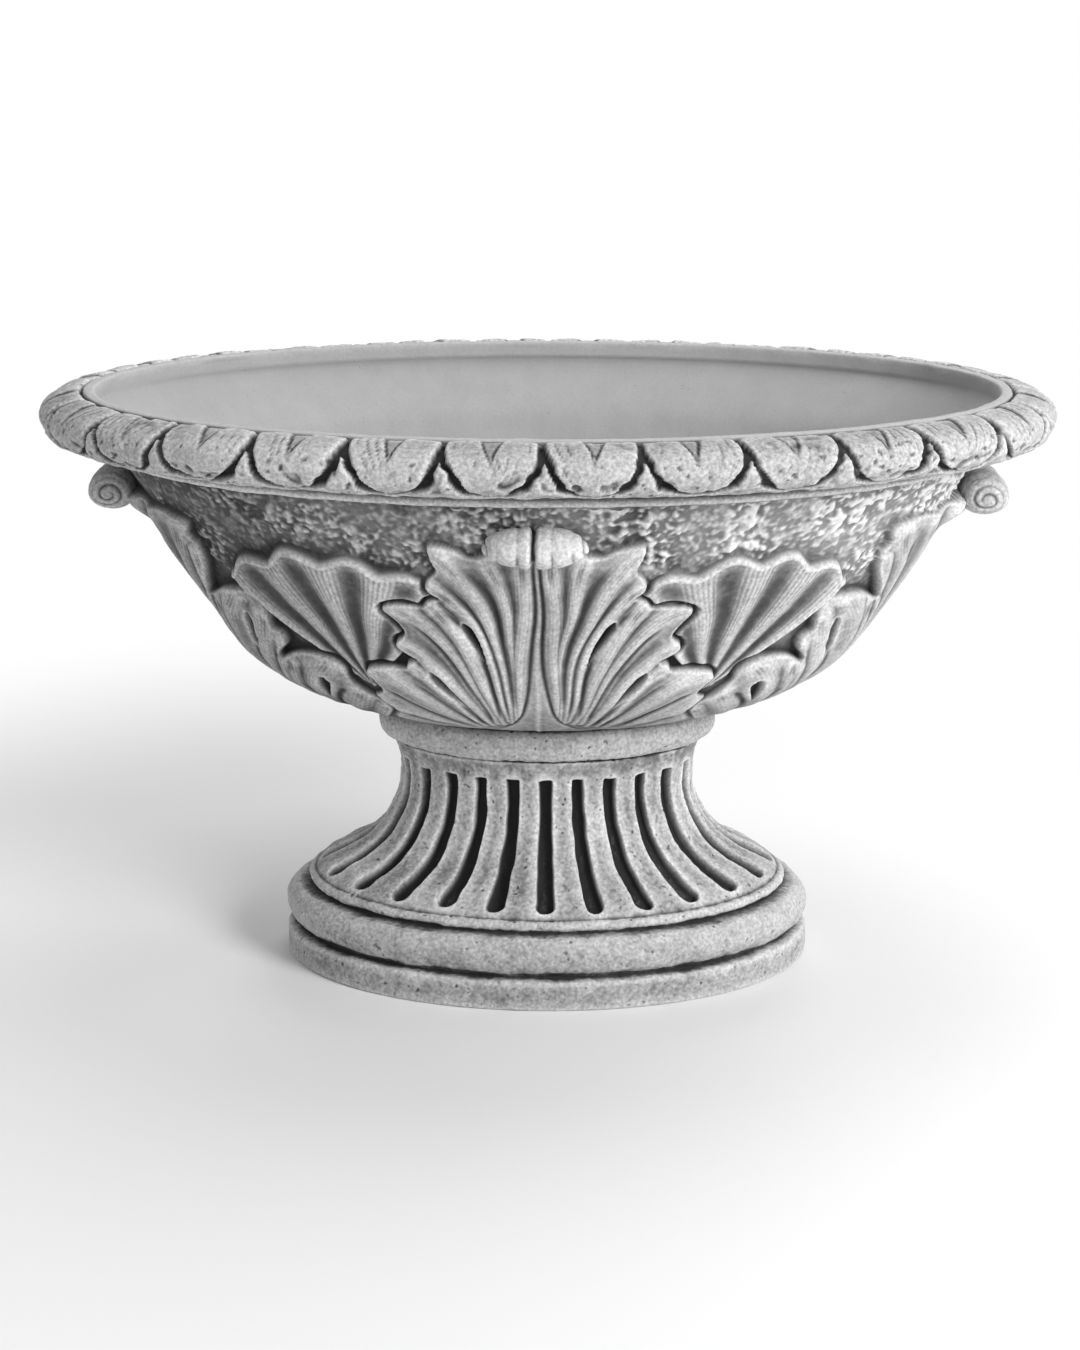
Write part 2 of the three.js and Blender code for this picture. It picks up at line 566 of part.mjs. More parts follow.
// The wall is equally thick at the sides and the ends, so the hollow is a narrower oval.
function hollowRatio(halfLength) {
  const outer = halfLength + HOLLOW_WALL;
  return (outer * PLINTH_RATIO - HOLLOW_WALL) / halfLength;
}

// ---- Joint and drain -----------------------------------------------------------------------------
function dowelPlaces() {
  return [-DOWEL_SPACING / 2, DOWEL_SPACING / 2];
}

function dowelSolid(x) {
  return cylinder(DOWEL_DIAMETER, DOWEL_BOTTOM, DOWEL_TOP, x);
}

function bedSolid() {
  const bottom = FOOT_HEIGHT + SEAT_GAP;
  const top = BOWL_UNDERSIDE - SEAT_GAP;
  const a = SEAT_RADIUS - BED_INSET;
  let solid = skin([bottom, top].map((z) => ring(a, SEAT_RATIO, z, INNER_COLUMNS)));
  solid = solid.subtract(cylinder(DRAIN_BORE, bottom - CUT_OVERRUN, top + CUT_OVERRUN));
  for (const x of dowelPlaces()) {
    solid = solid.subtract(cylinder(DOWEL_HOLE, bottom - CUT_OVERRUN, top + CUT_OVERRUN, x));
  }
  return solid;
}

function sleeveSolid() {
  const outer = DRAIN_BORE - 2 * SLEEVE_CLEARANCE;
  const bottom = HOLLOW_CEILING - SLEEVE_OVERRUN;
  const top = BOWL_FLOOR - SLEEVE_RECESS;
  const bore = cylinder(outer - 2 * SLEEVE_WALL, bottom - CUT_OVERRUN, top + CUT_OVERRUN);
  return cylinder(outer, bottom, top).subtract(bore);
}

// ---- Assembly ------------------------------------------------------------------------------------
const caststone = new THREE.MeshStandardMaterial({ color: 0xb4b2ad, roughness: 0.92, metalness: 0 });
const mortar = new THREE.MeshStandardMaterial({ color: 0x6f6d69, roughness: 0.97, metalness: 0 });
const stainless = new THREE.MeshStandardMaterial({ color: 0xb9bcc0, roughness: 0.35, metalness: 1 });
const plastic = new THREE.MeshStandardMaterial({ color: 0x55585a, roughness: 0.55, metalness: 0 });

const urn = new THREE.Group();

function place(name, solid, material) {
  const mesh = new THREE.Mesh(toGeometry(solid), material);
  mesh.name = name;
  urn.add(mesh);
}

place('bowl', bowlSolid(), caststone);
place('foot', footSolid(), caststone);
place('mortar_bed', bedSolid(), mortar);
place('drain_sleeve', sleeveSolid(), plastic);
const [leftDowel, rightDowel] = dowelPlaces();
place('dowel_left', dowelSolid(leftDowel), stainless);
place('dowel_right', dowelSolid(rightDowel), stainless);

export default urn;
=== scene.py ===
"""The looks of the oval urn planter: a carved bowl and a fluted foot in worn, patinated cast stone.

The bowl and the foot are each one closed skin, a grid of rows and columns. Its relief is worked out
in millimetres as a height over a plain surface, and the hollows and crests of the finished skin tell
the stone material where it is painted dark, for patina and painted shade, and where pale, for rubbed
edges and painted highlights. Blender's units are metres.
"""

import math

import bmesh
import bpy
import numpy as np
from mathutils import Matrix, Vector

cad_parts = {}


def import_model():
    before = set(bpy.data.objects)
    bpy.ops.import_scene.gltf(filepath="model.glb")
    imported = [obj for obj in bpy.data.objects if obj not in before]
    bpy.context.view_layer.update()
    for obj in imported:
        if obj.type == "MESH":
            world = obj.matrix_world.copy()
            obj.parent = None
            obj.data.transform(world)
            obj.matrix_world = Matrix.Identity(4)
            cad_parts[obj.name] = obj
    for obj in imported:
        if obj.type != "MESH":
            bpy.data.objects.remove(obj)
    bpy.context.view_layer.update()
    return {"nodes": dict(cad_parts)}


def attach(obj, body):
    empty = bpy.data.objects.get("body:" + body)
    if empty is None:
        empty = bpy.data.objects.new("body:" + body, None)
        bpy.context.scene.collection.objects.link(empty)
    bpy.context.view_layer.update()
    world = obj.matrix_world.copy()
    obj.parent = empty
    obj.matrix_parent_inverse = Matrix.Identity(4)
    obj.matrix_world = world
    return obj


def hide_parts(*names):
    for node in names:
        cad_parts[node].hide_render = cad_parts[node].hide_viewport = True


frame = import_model()

MM = 0.001
rng = np.random.default_rng(11)

# ---- Sizes, in millimetres, as in the CAD source ----
LIP_RADIUS = 367.0
LIP_RATIO = 466 / 734
LIP_WIDTH = 9.0
OVERALL_HEIGHT = 480.0
SEAT_RADIUS = 139.0
SEAT_RATIO = 176 / 278
BOWL_UNDERSIDE = 220.0
BOWL_FLOOR = 250.0
FLANK_TOP = (343.0, 434.0)
FLANK_FOOT = (250.0, 288.0)
EGG_COUNT = 28
WALL = 30.0
DRAIN_RADIUS = 14.0
PLINTH_RATIO = 280 / 440
NECK_RADIUS = 121.0
NECK_HEIGHT = 160.0
FOOT_HEIGHT = 216.0
FLUTE_COUNT = 24
HOLLOW_WALL = 46.0

# ---- Small helpers ----


def smooth(edge_0, edge_1, value):
    """0 up to one edge, 1 from the other on, and a soft S between them; either may be the higher."""
    t = np.clip((value - edge_0) / (edge_1 - edge_0), 0, 1)
    return t * t * (3 - 2 * t)


def bell(value, width):
    return np.exp(-0.5 * (value / width) ** 2)


def wrap_degrees(value):
    return (value + 180) % 360 - 180


def running_total(steps):
    """0, and then the sum of the steps so far."""
    return np.concatenate([[0], np.cumsum(steps)])


def resample(points, step):
    """Points about a step apart along the line through the given ones, which it passes through."""
    points = np.array(points, float)
    out = [points[:1]]
    for start, end in zip(points[:-1], points[1:]):
        count = max(1, int(round(np.linalg.norm(end - start) / step)))
        shares = np.arange(1, count + 1)[:, None] / count
        out.append(start + shares * (end - start))
    return np.concatenate(out)


def rounded(points, step, passes=2):
    """A smooth curve near the given points: corner cutting, then even steps."""
    points = np.array(points, float)
    for _ in range(passes):
        cut = np.empty((2 * len(points) - 2, points.shape[1]))
        cut[0::2] = 0.75 * points[:-1] + 0.25 * points[1:]
        cut[1::2] = 0.25 * points[:-1] + 0.75 * points[1:]
        points = np.concatenate([points[:1], cut, points[-1:]])
    length = running_total(np.linalg.norm(np.diff(points, axis=0), axis=1))
    steps = np.linspace(0, length[-1], max(2, int(round(length[-1] / step)) + 1))
    return np.stack([np.interp(steps, length, column) for column in points.T], axis=1)


# ---- The oval ----
fine_angle = np.linspace(0, 2 * math.pi, 8001)
fine_speed = np.hypot(np.sin(fine_angle), LIP_RATIO * np.cos(fine_angle))
fine_length = running_total((fine_speed[1:] + fine_speed[:-1]) / 2 * np.diff(fine_angle))
DEGREE = fine_length[-1] / 360  # length of one degree of the oval's perimeter, per unit half length


def oval_angle(share):
    """The ellipse's own angle at a share of the way round it, by length, from the right end."""
    return np.interp(share * fine_length[-1], fine_length, fine_angle)


def scaled_ring(half_length, ratio, z, angles):
    return np.stack([half_length * np.cos(angles), ratio * half_length * np.sin(angles),
                     np.full_like(angles, z)], axis=1)


def lip_ring(offset, z, angles):
    """A ring that keeps its distance from the lip's outer edge."""
    normal = np.stack([LIP_RATIO * np.cos(angles), np.sin(angles)], axis=1)
    normal /= np.linalg.norm(normal, axis=1)[:, None]
    ring = scaled_ring(LIP_RADIUS, LIP_RATIO, z, angles)
    ring[:, :2] += offset * normal
    return ring


# ---- Skins: grids whose columns run round ----
LEAST_STEP = 0.05  # millimetres between columns, so that no blur divides by nothing
TINY = 1e-9


class Skin:
    """A grid of points (rows, columns, 3) whose columns run round; closed ones join last row to first."""

    def __init__(self, rows, closed=True):
        self.base = np.array(rows)
        self.points = self.base
        self.count = self.base.shape[:2]
        self.closed = closed
        self.round_step = np.maximum(self.mean_gaps(1), LEAST_STEP)
        self.row_step = self.mean_gaps(0)
        if not closed:
            self.row_step[-1] = self.row_step[-2]
        self.normal = self.normals(self.base)

    def mean_gaps(self, axis):
        """For each row, how far its points are on average from the next ones along an axis."""
        return np.linalg.norm(np.roll(self.base, -1, axis=axis) - self.base, axis=2).mean(axis=1)

    def normals(self, points):
        along = np.roll(points, -1, axis=1) - np.roll(points, 1, axis=1)
        if self.closed:
            up = np.roll(points, -1, axis=0) - np.roll(points, 1, axis=0)
        else:
            up = np.gradient(points, axis=0)
        normal = np.cross(along, up)
        return normal / np.maximum(np.linalg.norm(normal, axis=2), TINY)[..., None]

    def blur(self, field, size):
        """The field smoothed over a distance in millimetres, the same everywhere on the skin."""
        flat = field.reshape(self.count + (-1,))
        waves = np.fft.rfftfreq(self.count[1])
        spread = size / self.round_step
        keep = np.exp(-2 * (math.pi * spread[:, None] * waves[None]) ** 2)
        flat = np.fft.irfft(np.fft.rfft(flat, axis=1) * keep[..., None], n=self.count[1], axis=1)
        place = running_total(self.row_step)
        gap = np.abs(place[:-1, None] - place[None, :-1])
        if self.closed:
            gap = np.minimum(gap, place[-1] - gap)
        weight = bell(gap, size) * self.row_step[None]
        weight /= weight.sum(axis=1, keepdims=True)
        return np.einsum("ij,jkl->ikl", weight, flat, optimize=True).reshape(field.shape)

    def noise(self, size):
        """Random hills of about the given size, with a spread of 1."""
        field = self.blur(rng.standard_normal(self.count), size)
        deviation = np.sqrt((field ** 2).mean(axis=1, keepdims=True))
        return field / np.maximum(deviation, TINY)

    def raise_by(self, height):
        self.points = self.base + height[..., None] * self.normal

    def cavity(self, size):
        """How far each point stands out from the skin smoothed over a size: below 0 in a hollow."""
        return ((self.points - self.blur(self.points, size)) * self.normals(self.points)).sum(axis=2)


class Rows:
    """The rings of a closed skin in order, each with the part it belongs to and its place on that part."""

    def __init__(self, angles):
        self.angles = angles
        self.rings = []
        self.parts = []
        self.places = []

    def put(self, part, place, ring):
        self.rings.append(ring)
        self.parts.append(part)
        self.places.append(place)

    def put_oval(self, part, place, half_length, ratio, z):
        self.put(part, place, scaled_ring(half_length, ratio, z, self.angles))

    def put_lip(self, part, place, offset, z):
        self.put(part, place, lip_ring(offset, z, self.angles))

    def put_between(self, part, start, end, count):
        """Ovals between two others, each (half length, ratio, height), without these two."""
        for share in np.linspace(0, 1, count + 2)[1:-1]:
            self.put_oval(part, share, *(a + share * (b - a) for a, b in zip(start, end)))


def add_object(name, data):
    obj = bpy.data.objects.new(name, data)
    bpy.context.scene.collection.objects.link(obj)
    return obj


def add_grid(name, points, attributes, closed_rows=True):
    """A mesh object from a grid of points in millimetres, with its values per point."""
    rows, columns = points.shape[:2]
    index = np.arange(rows * columns).reshape(rows, columns)
    above = np.roll(index, -1, axis=0)
    if not closed_rows:
        index, above = index[:-1], above[:-1]
    quads = np.stack([index, np.roll(index, -1, axis=1), np.roll(above, -1, axis=1), above], axis=-1)
    quads = quads.reshape(-1, 4)
    mesh = bpy.data.meshes.new(name)
    mesh.vertices.add(rows * columns)
    mesh.vertices.foreach_set("co", (points * MM).astype(np.float32).ravel())
    mesh.loops.add(quads.size)
    mesh.loops.foreach_set("vertex_index", quads.astype(np.int32).ravel())
    mesh.polygons.add(len(quads))
    mesh.polygons.foreach_set("loop_start", np.arange(0, quads.size, 4, dtype=np.int32))
    mesh.update(calc_edges=True)
    mesh.polygons.foreach_set("use_smooth", np.ones(len(quads), bool))
    for key, values in attributes.items():
        layer = mesh.attributes.new(key, "FLOAT", "POINT")
        layer.data.foreach_set("value", values.astype(np.float32).ravel())
    layer = mesh.uv_layers.new(name="OFBake")
    corner = np.stack([np.tile([0, 1, 1, 0], len(quads)), np.tile([0, 0, 1, 1], len(quads))], axis=1)
    row, column = np.divmod(np.repeat(quads[:, 0], 4), columns)
    place = np.stack([(column + corner[:, 0]) / columns, (row + corner[:, 1]) / rows], axis=1)
    layer.data.foreach_set("uv", place.astype(np.float32).ravel())
    mesh.update()
    return add_object(name, mesh)


CAVITY_SIZES = (1.4, 4.5, 13.0)
# For each of those sizes, how far in or out a point counts at most, and what that is divided by.
HOLLOW_REACH = ((0.9, 1.1), (4, 3.2), (9, 9))
CREST_REACH = ((0.6, 0.6), (2, 2), (5, 6))


def patina(skin, extra, amount=1.0):
    """Values per point: dark where patina has stayed and as painted shade in the hollows, pale where
    edges are rubbed and as painted highlights on what stands out, and plain calm stone.

    The amount is the share of that patina and painted shade that hollows take, and where it is low the
    stone is plain. The extra adds to the dark value; below 0 it is stone painted paler than the rest,
    for bare stone and for painted light.
    """
    cavities = [skin.cavity(size) for size in CAVITY_SIZES]
    depth = sum(np.clip(-out, 0, most) / unit for out, (most, unit) in zip(cavities, HOLLOW_REACH))
    height = sum(np.clip(out, 0, most) / unit for out, (most, unit) in zip(cavities, CREST_REACH))
    # Dark in the hollows for patina and painted shade; pale on what stands out for rubbed edges and painted
    # highlights.
    patina_and_shade = (1 - np.exp(-depth)) * amount + extra
    plain = np.broadcast_to(smooth(0.5, 0.2, np.asarray(amount)), skin.count)
    return {"patina_and_shade": np.clip(patina_and_shade, -0.5, 1), "wear_and_highlight": 1 - np.exp(-0.9 * height), "plain": plain}


# ---- Bowl: the plain surface ----
# The outside is an arc, the belly, which runs on into a straight flank.
flank_length = math.dist(FLANK_FOOT, FLANK_TOP)
flank_out = (FLANK_TOP[0] - FLANK_FOOT[0]) / flank_length
flank_up = (FLANK_TOP[1] - FLANK_FOOT[1]) / flank_length
chord = (SEAT_RADIUS - FLANK_FOOT[0], BOWL_UNDERSIDE - FLANK_FOOT[1])
belly_radius = (chord[0] ** 2 + chord[1] ** 2) / (2 * (chord[1] * flank_out - chord[0] * flank_up))
belly_centre = (FLANK_FOOT[0] - belly_radius * flank_up, FLANK_FOOT[1] + belly_radius * flank_out)
belly_start = math.atan2(BOWL_UNDERSIDE - belly_centre[1], SEAT_RADIUS - belly_centre[0])
belly_end = math.atan2(FLANK_FOOT[1] - belly_centre[1], FLANK_FOOT[0] - belly_centre[0])
belly_length = belly_radius * (belly_end - belly_start)
OUTSIDE_LENGTH = belly_length + flank_length


def outside(length):
    """Half length and height of the outside, by the length along its profile from the underside."""
    length = np.asarray(length, float)
    angle = belly_start + np.minimum(length, belly_length) / belly_radius
    along = np.maximum(length - belly_length, 0)
    reach = belly_centre[0] + belly_radius * np.cos(angle) + along * flank_out
    height = belly_centre[1] + belly_radius * np.sin(angle) + along * flank_up
    return reach, height


def bowl_ratio(z):
    return np.interp(z, [BOWL_UNDERSIDE, OVERALL_HEIGHT], [SEAT_RATIO, LIP_RATIO])


OUTSIDE_ROWS = 300
BOWL_COLUMNS = 48 * EGG_COUNT
FILLET_DROP = 6.0  # how far under the flank's top the outside ends and the fillet begins
FILLET_CENTRE = (FLANK_TOP[0] - 0.5, FLANK_TOP[1] - 1.6)
FILLET_SIZE = (7.5, 3.4)
FILLET_TURNS = np.radians(np.linspace(-80, 80, 11))
# The rim's section, [outwards from the lip, height]: the underside of its overhang, its fat roll with
# the groove inside it, and the lip.
OVERHANG_SECTION = [(-23, 437.5), (-20, 441.5), (8, 444.6), (17, 444.4)]
RIM_ROLL = [(19, 443.6), (22.5, 443.9), (28.6, 449), (33.0, 457), (32.6, 464.5), (28, 470.5),
            (20, 475.0), (10, 477.6), (3.6, 477.9), (1.8, 476)]
LIP_SECTION = [(1.3, 473.6), (0.3, 473.6), (0, 475), (0, 478.4), (-0.7, 479.7), (-2, 480), (-7.4, 480),
               (-8.6, 479.4), (-LIP_WIDTH, 478)]
# The inside: nearly upright under the lip, then a wall that follows the outside down to a flat floor.
UPRIGHT_HEIGHTS = np.linspace(476, 468, 6)
UPRIGHT_EDGE = 478  # the height at which it would meet the lip's inner edge
UPRIGHT_DRAFT = 12  # millimetres down for each one inwards
FLOOR_RADIUS = 100
WALL_TOP = [(356.5, 466), (351, 460), (334, 449)]
WALL_SHARES = (0.92, 0.85, 0.7, 0.5, 0.34)  # of the outside's length
WALL_FOOT = [(160, 258), (113, BOWL_FLOOR), (FLOOR_RADIUS, BOWL_FLOOR)]


def bowl_rows(angles):
    """The bowl's skin: along the underside, up the outside, over the rim and down inside to the drain."""
    rows = Rows(angles)
    drain_foot = (DRAIN_RADIUS, 1, BOWL_UNDERSIDE)
    drain_top = (DRAIN_RADIUS, 1, BOWL_FLOOR)
    rows.put_oval("underside", 0, *drain_foot)
    rows.put_between("underside", drain_foot, (SEAT_RADIUS, SEAT_RATIO, BOWL_UNDERSIDE), 12)
    for length in np.linspace(0, OUTSIDE_LENGTH - FILLET_DROP, OUTSIDE_ROWS):
        a, z = outside(length)
        rows.put_oval("outside", length, a, bowl_ratio(z), z)
    for turn in FILLET_TURNS:
        a = FILLET_CENTRE[0] + FILLET_SIZE[0] * math.cos(turn)
        z = FILLET_CENTRE[1] + FILLET_SIZE[1] * math.sin(turn)
        rows.put_oval("fillet", turn, a, bowl_ratio(z), z)
    for offset, z in resample(OVERHANG_SECTION, 3):
        rows.put_lip("overhang", offset, offset, z)
    roll = rounded(RIM_ROLL, 0.9)
    for i, (offset, z) in enumerate(roll):
        rows.put_lip("roll", 1 - i / (len(roll) - 1), offset, z)
    for offset, z in rounded(LIP_SECTION, 0.9, passes=1):
        rows.put_lip("lip", offset, offset, z)
    for z in UPRIGHT_HEIGHTS:
        rows.put_lip("inside", z, -LIP_WIDTH - (UPRIGHT_EDGE - z) / UPRIGHT_DRAFT, z)
    wall = list(WALL_TOP)
    for share in WALL_SHARES:
        a, z = outside(share * OUTSIDE_LENGTH)
        wall.append((a - WALL * flank_up, z + WALL * flank_out))
    for a, z in rounded(wall + WALL_FOOT, 7):
        rows.put_oval("inside", z, a, bowl_ratio(z), z)
    rows.put_between("floor", (FLOOR_RADIUS, LIP_RATIO, BOWL_FLOOR), drain_top, 10)
    rows.put_oval("floor", 1, *drain_top)
    rows.put_between("bore", drain_top, drain_foot, 4)
    return rows


# ---- Bowl: the carving ----
# One half of each leaf, as [degrees from the leaf's axis, profile length]: its outline, the crests of
# its fingers from root to tip with their half width near the tip, the troughs cut between them with
# their half width and depth, and the deep eyes where one lobe passes under the next with their half
# width. The front and back leaves are alike, and so are the two end leaves.
FRONT_OUTLINE = [
    (-10, 270), (4, 270), (8.6, 258), (10.6, 256), (12, 262), (15, 267), (17.1, 268.5), (16.7, 252),
    (15.9, 241), (17.6, 236), (18.5, 229), (18, 221), (15.9, 215), (18.6, 214.5), (19.5, 209),
    (20.2, 205), (23, 208), (28, 206), (27.6, 196), (26.2, 184), (25.2, 174), (27.5, 169), (28, 162),
    (26, 155), (23.4, 150), (26.3, 148), (27, 142), (27.4, 138), (31.5, 139.5), (37.6, 135), (37.4, 122),
    (36, 106), (38.5, 101), (42.5, 97), (42, 86), (44.5, 84), (48.5, 82), (46, 66), (40, 40), (30, 15),
    (20, -5), (10, -30), (-10, -30),
]
FRONT_FINGERS = [
    ([(4.4, 70), (4.3, 120), (3, 170), (2.5, 215), (2.2, 258)], 8.5),
    ([(5.4, 70), (4.6, 140), (5.2, 190), (6.4, 232), (7.8, 258)], 7),
    ([(6.6, 65), (6.3, 133), (7.9, 179), (10.8, 222), (14.4, 250), (16.6, 265)], 9),
    ([(7.5, 70), (8.2, 148), (10.3, 185), (13.8, 211), (17.8, 228)], 7),
    ([(9.3, 60), (10.2, 112), (12.8, 152), (15.8, 189), (18.6, 210)], 8),
    ([(11, 60), (13.6, 136), (17.4, 169), (22, 196), (27, 204)], 9.5),
    ([(13, 52), (14.8, 98), (18.2, 132), (22.8, 156), (27.3, 166)], 7.5),
    ([(16, 48), (18.2, 100), (21.8, 132), (26.2, 145)], 7),
    ([(18, 40), (22.5, 80), (26, 108), (30.6, 128), (36.8, 133)], 10),
    ([(21, 30), (28, 60), (34, 80), (41.2, 92)], 9),
    ([(25, 14), (34, 38), (41, 60), (47.6, 80)], 8.5),
]
FRONT_TROUGHS = [
    ([(5, 90), (5.2, 148), (6.4, 188), (9, 226), (12.4, 252)], 2.6, 2),
    ([(7, 80), (7.2, 140), (8.9, 180), (12, 210), (15.6, 228)], 1.3, 1.3),
    ([(9.6, 70), (9.2, 120), (10.2, 155), (13.8, 190), (17.4, 210)], 1.3, 1.6),
    ([(12, 60), (12.4, 102), (15.1, 138), (19.2, 170), (24, 193)], 1.5, 1.8),
    ([(15, 50), (17.2, 96), (20.6, 130), (24.6, 148)], 1.3, 1.3),
    ([(16.9, 44), (20.4, 86), (23.6, 113), (27.8, 130)], 1.2, 0.9),
    ([(21, 36), (25.2, 64), (30.4, 93), (36, 114)], 1.5, 1.8),
    ([(24, 20), (31, 44), (37, 66)], 1.4, 1.4),
]
FRONT_EYES = [([(9.6, 146), (11, 168), (13.3, 192)], 3.5), ([(16.2, 92), (18.6, 117), (21.8, 140)], 3.3)]
END_OUTLINE = [
    (-10, 274), (5, 274), (9, 271), (12, 266), (15, 264), (20, 267), (26, 266), (27.4, 259), (25, 247),
    (26.4, 237), (25.2, 222), (21, 200), (17.2, 184), (20.6, 188), (26.2, 197), (32, 199), (34.6, 190),
    (34.6, 175), (33.2, 164), (35.6, 158), (35.2, 147), (31, 137), (30.6, 130), (33.8, 136), (38, 141),
    (45, 142), (47.6, 131), (46.4, 118), (48.4, 108), (50.8, 95), (52.4, 80), (46, 56), (38, 34),
    (28, 10), (20, -5), (10, -30), (-10, -30),
]
END_FINGERS = [
    ([(4.4, 70), (4, 120), (3.4, 170), (3.2, 215), (3, 258)], 9.5),
    ([(5.4, 70), (5.6, 140), (7.6, 190), (11, 230), (14.5, 258)], 9),
    ([(6.6, 65), (8.3, 133), (12.6, 182), (18.6, 224), (24.6, 260)], 10.5),
    ([(8.5, 70), (11.5, 135), (16.5, 175), (21.6, 206), (24.8, 232)], 8),
    ([(10, 60), (12.5, 112), (16, 152), (20.6, 184)], 8),
    ([(11.5, 58), (15, 118), (20.5, 166), (28.5, 194)], 10),
    ([(15.5, 52), (22, 104), (29, 144), (33.4, 176)], 9.5),
    ([(17, 46), (24, 92), (30.5, 126), (34.6, 150)], 7),
    ([(18, 40), (24.5, 80), (29.5, 108), (33.5, 131)], 7),
    ([(20.5, 34), (28, 72), (35, 106), (44.6, 137)], 10),
    ([(25.5, 25), (35, 56), (42.5, 82), (48, 104)], 9),
    ([(28, 10), (38, 35), (45.5, 57), (51.5, 80)], 8.5),
]
END_TROUGHS = [
    ([(4.8, 120), (5.4, 180), (7, 226), (8.4, 250)], 1.6, 1.4),
    ([(7.6, 120), (11.5, 180), (15.8, 220), (19.6, 246)], 3, 2.6),
    ([(9.8, 80), (13.8, 145), (18.8, 186), (22.4, 212)], 1.3, 1.4),
    ([(12.6, 60), (16.5, 100), (22, 136), (28.5, 152)], 1.4, 1.6),
    ([(19.6, 40), (26, 80), (30, 104)], 1.3, 1.5),
    ([(23, 28), (31.5, 66), (39, 92), (45, 108)], 1.5, 1.8),
]
END_EYES = [([(19.5, 104), (24, 142), (28.6, 174)], 3.4), ([(32.5, 78), (37, 101), (40.5, 118)], 3.4)]
LINE_STEP = 6.0  # millimetres between the points of a leaf's lines once they are rounded
OUTLINE_STEP = 3.0
EDGE = 6.0  # how far a leaf's edge stands out
DOME = 1.6  # how much further its middle does
FINGER_RISE = 3.9
VEIN_PITCH = 2.6
STEM_RISE = 7.2
LEAF_SPREAD = 64  # degrees on each side of its axis for which a leaf is worked out
CARVING_TURN = -1.2  # degrees: all the carving sits a little left of the foot's axis
CURL_LIFT = 10.0  # how much the end leaves' middles swing out towards their curls
THICKENING = (38, 150)  # profile lengths between which the carving grows to full thickness


def to_plane(line):
    """Degrees and profile lengths as flat millimetres beside the leaf's axis."""
    line = np.array(line, float)
    return np.stack([line[:, 0] * DEGREE * outside(line[:, 1])[0], line[:, 1]], axis=1)


def to_stretch(x, s, start, end):
    """Distance to a straight stretch of line, and the share of the way along it of its nearest point."""
    run_x, run_s = end - start
    t = np.clip(((x - start[0]) * run_x + (s - start[1]) * run_s) / (run_x ** 2 + run_s ** 2), 0, 1)
    return np.hypot(x - start[0] - t * run_x, s - start[1] - t * run_s), t


def along_line(x, s, line):
    """Distance from a line and the share of the way along it, for every point of a window."""
    line = rounded(to_plane(line), LINE_STEP)
    nearest = np.full(x.shape, np.inf)
    share = np.zeros(x.shape)
    for i, (start, end) in enumerate(zip(line[:-1], line[1:])):
        gap, t = to_stretch(x, s, start, end)
        closer = gap < nearest
        nearest[closer] = gap[closer]
        share[closer] = ((i + t) / (len(line) - 1))[closer]
    return nearest, share


def inside_outline(x, s, outline):
    """How far each point is inside a closed outline, in flat millimetres, below 0 outside it."""
    ring = rounded(to_plane(outline), OUTLINE_STEP)
    nearest = np.full(x.shape, np.inf)
    within = np.zeros(x.shape, bool)
    for start, end in zip(ring, np.roll(ring, -1, axis=0)):
        nearest = np.minimum(nearest, to_stretch(x, s, start, end)[0])
        run_x, run_s = end - start
        if run_s:
            before = x < start[0] + run_x * (s - start[1]) / run_s
            within ^= ((start[1] > s) != (end[1] > s)) & before
    return np.where(within, nearest, -nearest)


def finger_ridges(side, s, fingers):
    """Height of a leaf's fingers, which grow towards their tips and are hollowed there like spoons."""
    ridges = np.zeros(side.shape)
    for line, width in fingers:
        gap, share = along_line(side, s, line)
        grown = width * (0.4 + 0.6 * smooth(0, 0.7, share))
        spoon = 0.55 * bell(share - 0.93, 0.06) * bell(gap, 0.3 * width)
        veins = 0.045 * np.cos(2 * math.pi * gap / VEIN_PITCH)
        rise = FINGER_RISE * (0.6 + 0.4 * smooth(0.05, 0.85, share))
        ridges = np.maximum(ridges, rise * (bell(gap, 0.62 * grown) * (1 + veins) - spoon))
    return ridges


def leaf(x, s, outline, fingers, troughs, eyes):
    """Height of a whole acanthus leaf over flat millimetres x beside its axis and s up the profile.

    The second result is how far inside the leaf's outline each point is.
    """
    side = np.abs(x)
    inside = inside_outline(side, s, outline)
    thick = smooth(*THICKENING, s)
    fine = smooth(0, 60, s)
    plate = (EDGE + DOME * smooth(0, 9, inside)) * thick
    ridges = finger_ridges(side, s, fingers) * fine * (0.4 + 0.6 * thick)
    height = (plate + ridges) * smooth(-1.4, 0.9, inside)
    for line, width, depth in troughs:
        gap, share = along_line(side, s, line)
        height -= depth * fine * bell(gap, width) * smooth(0, 0.15, share) * smooth(1.0, 0.82, share)
    for line, width in eyes:
        gap, share = along_line(side, s, line)
        reach = width * smooth(-0.1, 0.8, share) * np.sqrt(np.clip((1 - share) / 0.12, 0, 1))
        hole = smooth(1.25, 0.6, gap / np.maximum(reach, 0.3)) * smooth(0, 0.3, share)
        height = height * (1 - hole) + np.minimum(height, -1.0) * hole
    half_stem = 2.6 + 22.5 * np.exp(-(s - 48) / 42)
    stem = STEM_RISE * thick + 0.9 * fine + 0.7 * bell(side, 1.6)
    on_stem = smooth(0.8, -0.8, side - half_stem) * smooth(268, 250, s)
    height = height * (1 - on_stem) + stem * on_stem
    height -= 1.3 * fine * bell(side - half_stem, 1.0) * smooth(262, 240, s)
    return height, inside


SHELL_CENTRE = 37.6  # degrees from the front or the back
SHELL_HINGE = 109.0  # profile length
SHELL_PITCH = 19.4  # degrees of fan between two ribs
SHELL_LEAN = 0.6
SHELL_RADIUS = 131.5
STRIAE = 11  # fine lines between two ribs


